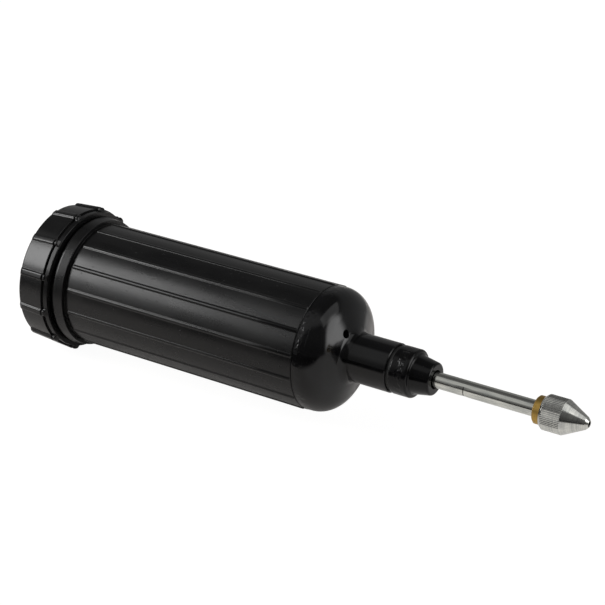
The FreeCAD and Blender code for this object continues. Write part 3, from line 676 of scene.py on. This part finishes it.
# brass straight from the lathe, gone slightly dull: a soft, warm sheen with faint rings
COUPLING_BRASS = BrightMetal("turned_brass", "bf9c56", (0.40, 0.52), Grain.AROUND, 0.2, 0.002, "9c8042")
# mild steel, turned and oiled: grey rings under a film
PLAIN_STEEL = BrightMetal("turned_mild_steel", "b4b5b6", (0.24, 0.36), Grain.AROUND, 0.25, 0.004, "6f7072")
# drawn wire with its dark draw film: dim, smoky highlights
WIRE_STEEL = BrightMetal("drawn_wire", "8f9093", (0.28, 0.4), Grain.EVERY_WAY, 0.3, 0.002, "5a5b5d")
# lapped ball steel: nearly a mirror
BALL_STEEL = BrightMetal("lapped_ball_steel", "cfd0d2", (0.04, 0.08), Grain.EVERY_WAY, 1.5, 0.0002, "c2c3c5")
# nitrile rubber of the rings and the cup: matt, with a grey bloom
RING_RUBBER = Nitrile("nitrile_rubber", "19191a", (0.55, 0.7))


# --- the gun ---


@dataclass
class SubAssembly:
    """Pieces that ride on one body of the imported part.  Its sizes are in millimetres and its turns in degrees.

    Attributes:
        axis: the gun's own line.
        body: name of the body.
    """

    axis: Axis
    body: str = "housing"

    def dress(self, piece: Object, finish: Finish, node: str, slot: str) -> None:
        """Gives a new piece its finish, and lets it stand for its CAD node.

        Args:
            piece: the new piece.
            finish: its finish.
            node: the CAD node that it stands for.
            slot: the record's material slot; not used.
        """
        piece.data.materials.append(finish.material())
        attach(piece, self.body)
        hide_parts(node)
        place = np.empty(3 * len(piece.data.vertices), np.float32)
        piece.data.vertices.foreach_get("co", place)
        place = place.reshape(-1, 3)
        apart = np.abs(np.array([place.min(0), place.max(0)]) - np.array(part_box(node))).max()
        LOG.info("%s: %d faces, stands for %s, %.2f mm from its box at most",
                 piece.name, len(piece.data.polygons), node, apart / MM)

    def finish_nodes(self, finish: Finish, *nodes: str) -> None:
        """Gives CAD nodes that keep their own shapes a finish.

        Args:
            finish: the finish.
            nodes: names of the nodes.
        """
        for node in nodes:
            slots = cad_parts[node].data.materials
            slots.clear()
            slots.append(finish.material())
            LOG.info("%s: kept, now in %s", node, finish.name)

    def spring(self, name: str, node: str, joint: str, wire: float, turns: float, bears: float = 0.0) -> None:
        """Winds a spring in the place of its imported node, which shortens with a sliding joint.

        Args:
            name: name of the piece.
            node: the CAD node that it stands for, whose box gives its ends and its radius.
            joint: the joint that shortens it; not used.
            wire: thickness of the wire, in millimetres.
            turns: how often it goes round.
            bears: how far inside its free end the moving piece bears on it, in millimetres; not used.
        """
        low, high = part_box(node)
        ends = tuple((place.x - self.axis.back) / MM for place in (low, high))
        piece = self.axis.wind(name, ends, 0.5 * (high.z - low.z) / MM - 0.5 * wire, wire, turns)
        self.dress(piece, WIRE_STEEL, node, "spring_steel")
        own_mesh(piece)


@dataclass
class ScrewCap(SubAssembly):
    """The barrel's screw cap: tapered skirt, twelve soft grip lugs that end in knobs, dished back, inner thread.

    The groove is given by its start, end and bottom radius, the dish by its depth and radius, a knob by its start and
    end, and the thread by the stations between which it fades in and out.
    """

    body: str = "cap"
    length: float = 14.6
    back_radius: float = 28.4
    front_radius: float = 29.2
    band_radius: float = 28.5
    mouth_radius: float = 28.35
    groove: Triple = (12.1, 12.8, 28.2)
    inside_radius: float = 25.35
    floor: float = 2.8
    dish: Span = (0.9, 21.0)
    breather: float = 1.5
    lugs: int = 12
    first_lug: float = 15.0
    lug_half: float = 1.45
    lug_stand: float = 0.85
    knob_half: float = 1.5
    knob: Span = (12.1, 14.1)
    thread_span: tuple[Span, Span] = ((4.6, 5.6), (11.9, 13.2))
    thread_depth: float = 0.55

    def relief(self, station: Array, radius: Array, turn: Array) -> Array:
        """Raises the lugs and knobs on the skirt, and the thread inside.

        A lug's height over its own middle is h (1 - |u / w|^5)^(1/2), and it runs out at the groove.  A knob is a
        flatter round, (1 - (u / w)^4)^(1/2), that lifts the groove and the band to a crown, which falls away as the
        cube of the way to its two ends.

        Args:
            station: stations of the outline's points, as a column.
            radius: their radii, as a column.
            turn: turns in radians, as a row.

        Returns:
            What is added to the radius at each point and turn.
        """
        across = from_nearest(turn, self.lugs, self.first_lug) * self.front_radius
        # only the skirt carries lugs, not the dish or the bore
        side = smooth_step(radius, self.back_radius - 0.9, self.back_radius - 0.05)
        foot, end = self.knob
        lug = self.lug_stand * np.sqrt(np.maximum(1.0 - np.abs(across / self.lug_half) ** 5, 0.0))
        lug = lug * side * held(station, (0.0, 1.0), (foot - 0.25, foot + 0.05))
        way = (station - 0.5 * (foot + end)) / (0.5 * (end - foot))
        crown = self.front_radius + self.lug_stand * (1.0 - np.abs(np.clip(way, -1.0, 1.0)) ** 3) - 0.05
        flat = np.sqrt(np.maximum(1.0 - (across / self.knob_half) ** 4, 0.0))
        front = (radius > self.mouth_radius - 0.62) & (station > foot) & (station < end)
        knob = flat * np.maximum(crown - radius, 0.0) * front
        bore = np.abs(radius - self.inside_radius) < ON_FACE
        thread = self.thread_depth * thread_crest(station, turn) * held(station, *self.thread_span) * bore
        return np.maximum(lug, knob) + thread

    def build(self) -> None:
        """Makes the cap."""
        depth, dish = self.dish
        groove_from, groove_to, bottom = self.groove
        ring = rounded([
            (depth, self.breather, 0.3), (depth, dish, 0.5), (0.0, dish + depth, 0.4),
            (0.0, self.back_radius, 0.75), (groove_from, self.front_radius, 0.12), (groove_from, bottom, 0.06),
            (groove_to, bottom, 0.06), (groove_to, self.band_radius, 0.1),
            (self.length, self.mouth_radius, 0.2), (self.length, self.inside_radius + 0.6, 0.15),
            (self.length - 0.6, self.inside_radius, 0.15), (self.floor, self.inside_radius, 0.4),
            (self.floor, self.breather, 0.3),
        ])
        # fine over the knobs, coarse over the skirt, and fine enough for the thread inside
        knobs_from = self.knob[0] - 0.5
        ring = divided(ring, 0.14, knobs_from, self.length, self.mouth_radius - 0.7)
        ring = divided(ring, 1.2, 0.5, knobs_from, self.back_radius - 1.0)
        ring = divided(ring, 0.3, 3.5, 13.4, self.inside_radius - 0.5)
        half = math.degrees(self.knob_half / self.front_radius) + 0.35
        turns = feature_turns(self.lugs, self.first_lug, half, 21, 9)
        piece = self.axis.revolve("screw_cap", ring, turns, self.relief)
        self.dress(piece, CAP_NYLON, "end_cap", "cap_plastic")


@dataclass
class RibbedBarrel(SubAssembly):
    """The moulded barrel: cap thread, grip collar with a recess at its foot, and sixteen narrow ribs."""

    back: float = 4.05
    front: float = 129.55
    bore: float = 22.6
    side: float = 24.75
    land: float = 25.2
    collar_from: float = 15.3
    collar_to: float = 20.65
    collar_back: float = 26.85
    collar_front: float = 26.2
    recess: float = 24.45
    recess_to: float = 22.35
    ribs: int = 16
    first_rib: float = -8.5
    rib_round: float = 1.1
    rib_stand: float = 0.4
    rib_half: float = 1.15
    foot: float = 0.02
    thread_span: tuple[Span, Span] = ((5.05, 5.85), (12.6, 13.6))
    thread_depth: float = 0.5

    def relief(self, station: Array, radius: Array, turn: Array) -> Array:
        """Raises the ribs on the side and cuts the cap's thread into its land.

        A rib is the part of a round that stands out of the side, sqrt(r^2 - u^2) less its depth, and the greater of
        it and the side is taken softly, with a foot of k: k ln(1 + e^(h / k)).

        Args:
            station: stations of the outline's points, as a column.
            radius: their radii, as a column.
            turn: turns in radians, as a row.

        Returns:
            What is added to the radius at each point and turn.
        """
        across = from_nearest(turn, self.ribs, self.first_rib) * self.side
        rise = np.sqrt(np.maximum(self.rib_round**2 - across**2, 1e-4)) - (self.rib_round - self.rib_stand)
        rib = self.foot * np.logaddexp(0.0, rise / self.foot)
        ends = 1.0 - smooth_step(station, self.front - 0.45, self.front - 0.15)
        on_side = (np.abs(radius - self.side) < 0.2) & (station > self.recess_to - 0.05)
        on_land = (np.abs(radius - self.land) < ON_FACE) & (station < self.collar_from)
        root = (1.0 - thread_crest(station, turn)) * held(station, *self.thread_span)
        return rib * ends * on_side - self.thread_depth * root * on_land

    def build(self) -> None:
        """Makes the barrel."""
        ring = rounded([
            (self.back, self.bore, 0.2), (self.back, self.land, 0.6), (self.collar_from, self.land, 0.3),
            (self.collar_from, self.collar_back, 1.4), (self.collar_to, self.collar_front, 0.15),
            (self.collar_to, self.recess, 0.1), (self.recess_to, self.recess, 0.08),
            (self.recess_to, self.side, 0.1), (self.front, self.side, 0.25), (self.front, self.bore, 0.2),
        ])
        # fine enough for the thread on the land, long runs along the ribs
        ring = divided(ring, 0.3, self.back, self.collar_from, self.land - 0.5)
        ring = divided(ring, 18.0, self.recess_to + 1.0, self.front - 1.0, self.side - 0.5)
        turns = feature_turns(self.ribs, self.first_rib, math.degrees(self.rib_half / self.side), 17, 7)
        piece = self.axis.revolve("ribbed_barrel", ring, turns, self.relief)
        self.dress(piece, BARREL_PLASTIC, "barrel", "barrel_plastic")


@dataclass
class HeadAndGland(SubAssembly):
    """The domed head with its neck, and the gland nut with its conical nose.

    Their rough bands are given by how far they start and end from the seam and from the nut's face.
    """

    seam: float = 129.55
    seam_rough: Span = (0.8, 4.5)
    face: float = 162.7
    nut_radius: float = 9.45
    nut_length: float = 7.4
    nut_rough: Span = (2.3, 5.6)
    nose_back: float = 7.65
    nose_front: float = 6.3
    nose_end: float = 178.05
    hole: float = 3.6
    thread: float = 7.85
    thread_back: float = 151.8
    chamber: float = 6.4
    ledge: float = 168.5
    packing: float = 5.0
    packing_end: float = 175.5

    def roughened(self, finish: Enamel, start: float, band: Span) -> Enamel:
        """Gives an enamel the place of its rough band.

        Args:
            finish: the enamel.
            start: station that the band is measured from.
            band: how far from there it starts and ends.

        Returns:
            The enamel with its band, centred on the gun's line.
        """
        low, high = (self.axis.point(start + along).x for along in band)
        return replace(finish, rough_from=low, rough_to=high, centre=self.axis.height)

    def build(self) -> None:
        """Makes the gland nut and finishes the head and what sits inside it."""
        shoulder = self.face + self.nut_length
        ring = rounded([
            (self.thread_back, self.chamber, 0.1), (self.thread_back, self.thread, 0.4), (self.face, self.thread, 0.1),
            (self.face, self.nut_radius, 0.55), (shoulder, self.nut_radius, 0.9),
            (shoulder + 0.4, self.nose_back, 0.7), (self.nose_end, self.nose_front, 0.9),
            (self.nose_end, self.hole, 0.3), (self.packing_end, self.hole, 0.1), (self.packing_end, self.packing, 0.2),
            (self.ledge, self.packing, 0.1), (self.ledge, self.chamber, 0.2),
        ], steps=8)
        piece = self.axis.revolve("gland_nut_shell", ring, even_turns(192))
        self.dress(piece, self.roughened(NUT_ENAMEL, self.face, self.nut_rough), "gland_nut", "enamel")
        self.finish_nodes(self.roughened(HEAD_ENAMEL, self.seam, self.seam_rough), "head")
        self.finish_nodes(RING_RUBBER, "gland_seal", "head_ring", "rod_seal")
        self.finish_nodes(PLAIN_STEEL, "pump_cylinder", "spring_seat")
        self.spring("return_coil", "return_spring", "plunger_stroke", wire=1.1, turns=8)
        self.finish_nodes(COUPLING_BRASS, "guide_bush")


@dataclass
class Plunger(SubAssembly):
    """The plunger tube with its scribed mark, the brass coupling and the knurled nozzle.

    The tube's two grooves are given by their start and end, the scribed line and the dimple by their depth and half
    width, the dimple's place by how far it is along from the line and round, and the chamber and the socket of the
    nozzle by their station and radius.
    """

    body: str = "plunger"
    tube_radius: float = 3.1
    tube_bore: float = 1.5
    tube_back: float = 119.0
    tube_front: float = 224.45
    ring_groove: Span = (120.45, 122.05)
    clip_groove: Span = (168.475, 169.325)
    groove_depth: float = 0.6
    mark_at: float = 191.0
    line: Span = (0.12, 0.15)
    line_turns: tuple[Span, Span] = ((60.0, 70.0), (290.0, 300.0))
    dimple: Span = (0.06, 0.25)
    dimple_at: Span = (0.5, 57.0)
    nozzle_back: float = 222.9
    nozzle_radius: float = 6.7
    back_radius: float = 5.9
    knurl_from: float = 223.9
    knurl_to: float = 231.25
    cone_end: float = 239.5
    cone_radius: float = 2.43
    tip: float = 240.5
    tip_radius: float = 1.4
    orifice: float = 1.05
    chamber: Span = (234.95, 2.7)
    socket: Span = (228.45, 4.08)
    teeth: int = 58
    tooth_depth: float = 0.20

    def mark(self, station: Array, radius: Array, turn: Array) -> Array:
        """Sinks a scribed line into the lower part of the tube, with a punched dimple at its end.

        Both are hollows with the section of a bell curve, e^-(d / w)^2.

        Args:
            station: stations of the outline's points, as a column.
            radius: their radii, as a column.
            turn: turns in radians, as a row.

        Returns:
            What is added to the radius at each point and turn.
        """
        (depth, width), (dip, dip_width), (along, round_to) = self.line, self.dimple, self.dimple_at
        line = depth * np.exp(-(((station - self.mark_at) / width) ** 2)) * held(turn, *np.radians(self.line_turns))
        away = np.hypot(station - self.mark_at - along, (turn - math.radians(round_to)) * self.tube_radius)
        return -(line + dip * np.exp(-((away / dip_width) ** 2))) * (radius > self.tube_radius - 0.05)

    def knurl(self, station: Array, radius: Array, turn: Array) -> Array:
        """Cuts a straight knurl: V grooves round the nozzle between a plain rim and the cone.

        A groove's floor lies below the nozzle's full radius by its depth times the share of the way from the nearest
        tooth to the next, and the surface is cut down to it wherever it is higher.  A slow wave of the station and
        the tooth makes the depth waver.

        Args:
            station: stations of the outline's points, as a column.
            radius: their radii, as a column.
            turn: turns in radians, as a row.

        Returns:
            What is added to the radius at each point and turn.
        """
        outer = radius > self.nozzle_radius - 0.9
        outer = outer * smooth_step(station, self.knurl_from, self.knurl_from + 0.35)
        away = np.abs(from_nearest(turn, self.teeth, 0.0)) / (math.pi / self.teeth)
        number = np.floor(turn * self.teeth / (2.0 * math.pi) + 0.5)
        waver = 0.94 + 0.06 * np.sin(station * 4.1 + number * 2.3) * np.sin(station * 1.7 + number * 5.1)
        ground = self.nozzle_radius - self.tooth_depth * away * waver
        return -np.maximum(radius - ground, 0.0) * outer

    def tube(self) -> None:
        """Makes the tube, with a groove for its ring and one for the clip."""
        bore, side, floor = self.tube_bore, self.tube_radius, self.tube_radius - self.groove_depth
        grooves = [
            (station, radius, 0.05)
            for start, end in (self.ring_groove, self.clip_groove)
            for station, radius in ((start, side), (start, floor), (end, floor), (end, side))
        ]
        ring = rounded([
            (self.tube_back, bore, 0.1), (self.tube_back, side, 0.3), *grooves,
            (self.tube_front, side, 0.2), (self.tube_front, bore, 0.1),
        ], steps=4)
        # even runs about the mark, and very fine ones over it
        for longest, reach in ((2.0, 30.0), (0.05, 0.9)):
            ring = divided(ring, longest, self.mark_at - reach, self.mark_at + reach, side - 0.1)
        piece = self.axis.revolve("plunger_rod", ring, even_turns(144), self.mark)
        # the painted shade in the line ends half way up its run-out
        end = self.axis.point(self.mark_at, side, 65.0)
        self.dress(piece, replace(TUBE_ZINC, scribe=end.x, line_shade_under=end.z), "plunger_tube", "zinc_plate")

    def nozzle(self) -> None:
        """Makes the nozzle."""
        ring = rounded([
            (self.nozzle_back, self.socket[1], 0.1), (self.nozzle_back, self.back_radius, 0.2),
            (self.knurl_from, self.nozzle_radius, 0.2), (self.knurl_to, self.nozzle_radius, 0.04),
            (self.cone_end, self.cone_radius, 0.2), (self.tip, self.tip_radius, 0.1),
            (self.tip, self.orifice, 0.08), (self.chamber[0], self.orifice, 0.08), (*self.chamber, 0.2),
            (self.socket[0], self.chamber[1], 0.1), (*self.socket, 0.1),
        ], steps=5)
        rim = self.knurl_from + 0.1
        ring = divided(ring, 0.08, self.nozzle_back, rim, self.back_radius)
        ring = divided(ring, 0.3, rim, self.knurl_to, self.nozzle_radius - 0.9)
        ring = divided(ring, 0.15, self.knurl_to, self.cone_end, self.socket[1] + 0.1)
        piece = self.axis.revolve("nozzle_shell", ring, even_turns(self.teeth * 8), self.knurl)
        self.dress(piece, NOZZLE_ZINC, "nozzle", "zinc_plate")

    def build(self) -> None:
        """Makes the tube and the nozzle, and finishes the pieces between and inside them."""
        self.tube()
        self.nozzle()
        self.finish_nodes(COUPLING_BRASS, "coupling")
        self.finish_nodes(RING_RUBBER, "piston_ring", "nozzle_ring")
        self.finish_nodes(PLAIN_STEEL, "stop_collar")
        self.finish_nodes(WIRE_STEEL, "stop_clip")
        self.spring("valve_coil", "valve_spring", "valve_lift", wire=0.4, turns=4, bears=0.3)


@dataclass
class Insides(SubAssembly):
    """The follower with its cup, the cap's flat ring and the valve's ball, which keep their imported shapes."""

    def build(self) -> None:
        """Finishes the pieces."""
        self.finish_nodes(FOLLOWER_PLASTIC, "follower")
        self.finish_nodes(RING_RUBBER, "follower_cup", "cap_seal")
        self.finish_nodes(BALL_STEEL, "check_ball")


# --- the studio ---


@dataclass(frozen=True)
class Panel:
    """A flat soft light.

    Attributes:
        name: name of the lamp.
        place: its middle, in metres.
        facing: the direction that it shines in.
        size: its length and width, in metres.
        radiance: how bright its face is, where 1 is white.
        along: the direction of its length.
    """

    name: str
    place: Triple
    facing: Triple
    size: Span
    radiance: float
    along: Triple = (1.0, 0.0, 0.0)

    def build(self) -> None:
        """Makes the lamp, with its length as nearly as it can along its direction."""
        data = bpy.data.lights.new(self.name, "AREA")
        data.shape = "RECTANGLE"
        data.size, data.size_y = self.size
        data.energy = self.radiance * math.pi * self.size[0] * self.size[1]
        lamp = bpy.data.objects.new(self.name, data)
        bpy.context.scene.collection.objects.link(lamp)
        back = -Vector(self.facing).normalized()
        along = Vector(self.along)
        along = (along - along.dot(back) * back).normalized()
        turn = Matrix((along, back.cross(along), back)).transposed()
        lamp.matrix_world = Matrix.Translation(self.place) @ turn.to_4x4()
        lamp.visible_camera = False


@dataclass
class Studio:
    """Camera, floor, room and lamps.

    Directions on the floor are X and Y, and those in the room are X, Y and Z.  Turns go round the gun's line, from
    straight up towards -Y, in degrees.

    Attributes:
        eye: place of the camera, in metres.
        right: the camera's own right.
        up: the camera's own up.
        lens: focal length on a sensor of the given width, in millimetres.
        sensor: width of that sensor.
        clip: nearest and furthest distance that the camera sees, in metres.
        floor_size: side of the floor, in metres.
        sheet: shade of the white sheet on it.
        sheet_plain: share of the sheet that is plain white to the eye; the rest takes the shadow.
        sheet_glow: how bright the plain white is, where 1 is white.
        painted_sheet_light: share of the glow that polished pieces mirror, at the cap's end and at the nozzle's end;
            its rise towards the nozzle is a painted pool of light.
        painted_light_between: where along X the one goes over into the other, in metres.
        dark_floor_edge: where, towards -Y, the sheet that polished sides mirror starts and has finished turning into
            painted shade, in metres.
        painted_dark_floor: colour of that painted shade, a dark sheet that polished sides mirror beyond that edge.
        end_edge: where it starts and has ended beyond the nozzle, in metres; the head's face mirrors it.
        end_way: direction of that edge on the floor.
        near_wall: radiance of the upper part of the wall that the gun's shown side mirrors.
        low_wall: radiance of that wall's lower part.
        far_wall: radiance of the wall behind it.
        ceiling: radiance of the dark strip overhead.
        near_turns: turns over which the strip goes over into the near wall.
        low_turns: turns over which that wall's upper part goes over into its lower part.
        far_turns: turns over which the far wall goes over into the strip.
        dark_side: direction on the floor of the unlit side of the room.
        dark_share: how much of the light is missing there.
        dark_from: how far towards that side the light starts to go and has gone, of a direction's length 1.
        dark_under: how far up it starts to come back and is back.
        end_wall: radiance of the tall bright place beyond the nozzle, behind it to the right.
        end_at: direction of its middle.
        end_rise: the way that it is tall.
        end_aside: the way that it is wide.
        end_halves: half its height and half its width.
        end_fade: how far from its middle it starts to fade and has faded, in those halves.
        end_past: how far towards +X it starts to show and shows fully, which keeps it off the other end.
        panels: the lamps.
    """

    eye: Triple = (0.3559, -0.5815, 0.2916)
    right: Triple = (0.8378, 0.5424, 0.0617)
    up: Triple = (-0.2338, 0.2544, 0.9384)
    lens: float = 112.55
    sensor: float = 36.0
    clip: Span = (0.01, 50.0)
    floor_size: float = 8.0
    sheet: str = "eae5e1"
    sheet_plain: float = 0.82
    sheet_glow: float = 1.17
    painted_sheet_light: Span = (0.12, 0.36)
    painted_light_between: Span = (0.016, 0.045)
    dark_floor_edge: Span = (0.075, 0.13)
    painted_dark_floor: str = "303030"
    end_edge: Span = (0.13, 0.30)
    end_way: Span = (0.9, 0.44)
    near_wall: float = 0.50
    low_wall: float = 0.29
    far_wall: float = 0.26
    ceiling: float = 0.10
    near_turns: Span = (6.0, 20.0)
    low_turns: Span = (52.0, 80.0)
    far_turns: Span = (-46.0, -32.0)
    dark_side: Span = (0.525, -0.851)
    dark_share: float = 0.76
    dark_from: Span = (0.42, 0.62)
    dark_under: Span = (0.7, 0.85)
    end_wall: float = 3.4
    end_at: Triple = (0.935, 0.235, 0.26)
    end_rise: Triple = (0.0, -0.35, 0.937)
    end_aside: Triple = (-0.242, 0.909, 0.34)
    end_halves: Span = (0.44, 0.30)
    end_fade: Span = (0.65, 1.25)
    end_past: Span = (0.3, 0.5)
    panels: list[Panel] = field(default_factory=lambda: [
        Panel("key_light", (-0.515, -0.325, 0.285), (0.0, 0.752, -0.659), (0.40, 0.30), 8.6),
        Panel("low_light", (-0.54, -0.46, 0.095), (0.0, 1.0, -0.12), (0.38, 0.14), 1.4),
        Panel("nozzle_light", (0.19, 0.02, 0.27), (-0.3, 0.0, -0.95), (0.24, 0.16), 0.8, (0.0, 1.0, 0.0)),
    ])

    def build(self) -> None:
        """Makes the whole studio."""
        self.camera()
        self.floor()
        self.world()
        for panel in self.panels:
            panel.build()
        bpy.context.scene.view_settings.view_transform = "Standard"

    def camera(self) -> None:
        """Makes the camera."""
        data = bpy.data.cameras.new("camera")
        data.lens, data.sensor_width = self.lens, self.sensor
        data.clip_start, data.clip_end = self.clip
        camera = bpy.data.objects.new("camera", data)
        bpy.context.scene.collection.objects.link(camera)
        right = Vector(self.right).normalized()
        back = right.cross(Vector(self.up)).normalized()
        turn = Matrix((right, back.cross(right), back)).transposed()
        camera.matrix_world = Matrix.Translation(self.eye) @ turn.to_4x4()
        bpy.context.scene.camera = camera

    def floor(self) -> None:
        """Makes the floor: a matt white sheet, nearly plain white to the eye but for the gun's shadow."""
        half = 0.5 * self.floor_size
        points = half * np.array([(-1, -1, 0), (1, -1, 0), (1, 1, 0), (-1, 1, 0)], float)
        mesh = bpy.data.meshes.new("floor")
        mesh.from_pydata(points, [], [(0, 1, 2, 3)])
        floor = bpy.data.objects.new("floor", mesh)
        bpy.context.scene.collection.objects.link(floor)
        made = bpy.data.materials.new("white_sheet")
        tree = bare_tree(made)
        ray = add_node(tree, "LightPath").outputs
        place = add_node(tree, "TexCoord").outputs["Object"]
        # painted light: polished pieces mirror more of the plain white glow towards the nozzle's end, a painted pool
        # of light on the sheet
        other = add_node(tree, "Math", (ray["Is Glossy Ray"], ray["Is Transmission Ray"]), operation="ADD")
        east = add_node(tree, "SeparateXYZ", (place,))
        painted_pool = add_node(tree, "MapRange", (east, *self.painted_light_between, *self.painted_sheet_light), **SMOOTH)
        other = add_node(tree, "Math", (other, painted_pool), operation="MULTIPLY")
        plain = add_node(tree, "Math", (ray["Is Camera Ray"], self.sheet_plain, other), operation="MULTIPLY_ADD")
        sheet = add_node(tree, "BsdfDiffuse", {"Color": linear(self.sheet)})
        white = add_node(tree, "Emission", {"Color": linear("ffffff"), "Strength": self.sheet_glow})
        seen = add_node(tree, "MixShader", (plain, sheet, white))
        # what they mirror of it ends at two edges: in front it turns into a dark sheet of painted shade, and beyond
        # the end they pass through to the bright wall
        dark, clear = add_node(tree, "BsdfDiffuse", {"Color": linear(self.painted_dark_floor)}), add_node(tree, "BsdfTransparent")
        for way, edge, past in (((0.0, -1.0), self.dark_floor_edge, dark), (self.end_way, self.end_edge, clear)):
            reach = add_node(tree, "VectorMath", (place, (*way, 0.0)), operation="DOT_PRODUCT").outputs["Value"]
            share = add_node(tree, "MapRange", (reach, *edge), **SMOOTH)
            share = add_node(tree, "Math", (share, ray["Is Glossy Ray"]), operation="MULTIPLY")
            seen = add_node(tree, "MixShader", (share, seen, past))
        add_node(tree, "OutputMaterial", {"Surface": seen})
        mesh.materials.append(made)

    def world(self) -> None:
        """Makes the room: plain white to the eye; its light comes from two walls and a bright far end."""
        world = bpy.data.worlds.new("room")
        bpy.context.scene.world = world
        tree = bare_tree(world)
        way = add_node(tree, "TexCoord").outputs["Generated"]
        east, north, up = add_node(tree, "SeparateXYZ", (way,)).outputs
        # the walls, and the dark strip between them, by the turn of the direction round the gun's line
        south = add_node(tree, "Math", (north, -1.0), operation="MULTIPLY")
        turn = add_node(tree, "Math", (south, up), operation="ARCTAN2")
        near, low, far = (
            add_node(tree, "MapRange", (turn, *np.radians(turns).tolist(), *levels), **SMOOTH)
            for turns, levels in (
                (self.near_turns, (self.ceiling, self.near_wall)),
                (self.low_turns, (1.0, self.low_wall / self.near_wall)),
                (self.far_turns, (self.far_wall, self.ceiling)),
            )
        )
        near = add_node(tree, "Math", (near, low), operation="MULTIPLY")
        level = add_node(tree, "Math", (near, far), operation="MAXIMUM")
        # the unlit side, which ends overhead
        ahead = add_node(tree, "VectorMath", (way, (*self.dark_side, 0.0)), operation="DOT_PRODUCT").outputs["Value"]
        dark = add_node(tree, "MapRange", (ahead, *self.dark_from, 0.0, self.dark_share), **SMOOTH)
        below = add_node(tree, "MapRange", (up, *self.dark_under, 1.0, 0.0), **SMOOTH)
        dark = add_node(tree, "Math", (dark, below), operation="MULTIPLY")
        light = add_node(tree, "Math", (1.0, dark), operation="SUBTRACT")
        level = add_node(tree, "Math", (level, light), operation="MULTIPLY")
        # the bright far end: a tall soft oval round a direction, which shows only on that side of the room
        offset = add_node(tree, "VectorMath", (way, self.end_at), operation="SUBTRACT")
        tall, wide = (
            add_node(tree, "VectorMath", (offset, Vector(across) / half), operation="DOT_PRODUCT").outputs["Value"]
            for across, half in zip((self.end_rise, self.end_aside), self.end_halves)
        )
        oval = add_node(tree, "CombineXYZ", (tall, wide))
        span = add_node(tree, "VectorMath", (oval,), operation="LENGTH").outputs["Value"]
        glow = add_node(tree, "MapRange", (span, *self.end_fade, self.end_wall, 0.0), **SMOOTH)
        there = add_node(tree, "MapRange", (east, *self.end_past), **SMOOTH)
        glow = add_node(tree, "Math", (glow, there), operation="MULTIPLY")
        level = add_node(tree, "Math", (level, glow), operation="ADD")
        eye = add_node(tree, "LightPath").outputs["Is Camera Ray"]
        seen = add_node(tree, "Mix", {0: eye, 2: level, 3: 1.0}, data_type="FLOAT")
        sky = add_node(tree, "Background", {"Color": linear("ffffff"), "Strength": seen})
        add_node(tree, "OutputWorld", {"Surface": sky})


def main() -> None:
    """Builds the gun piece by piece, then the studio."""
    logging.basicConfig(level=logging.INFO, format="%(name)s: %(message)s", stream=sys.stdout)
    axis = Axis.of_frame()
    for part in (ScrewCap(axis), RibbedBarrel(axis), HeadAndGland(axis), Plunger(axis), Insides(axis)):
        part.build()
    Studio().build()


if __name__ == "__main__":
    main()
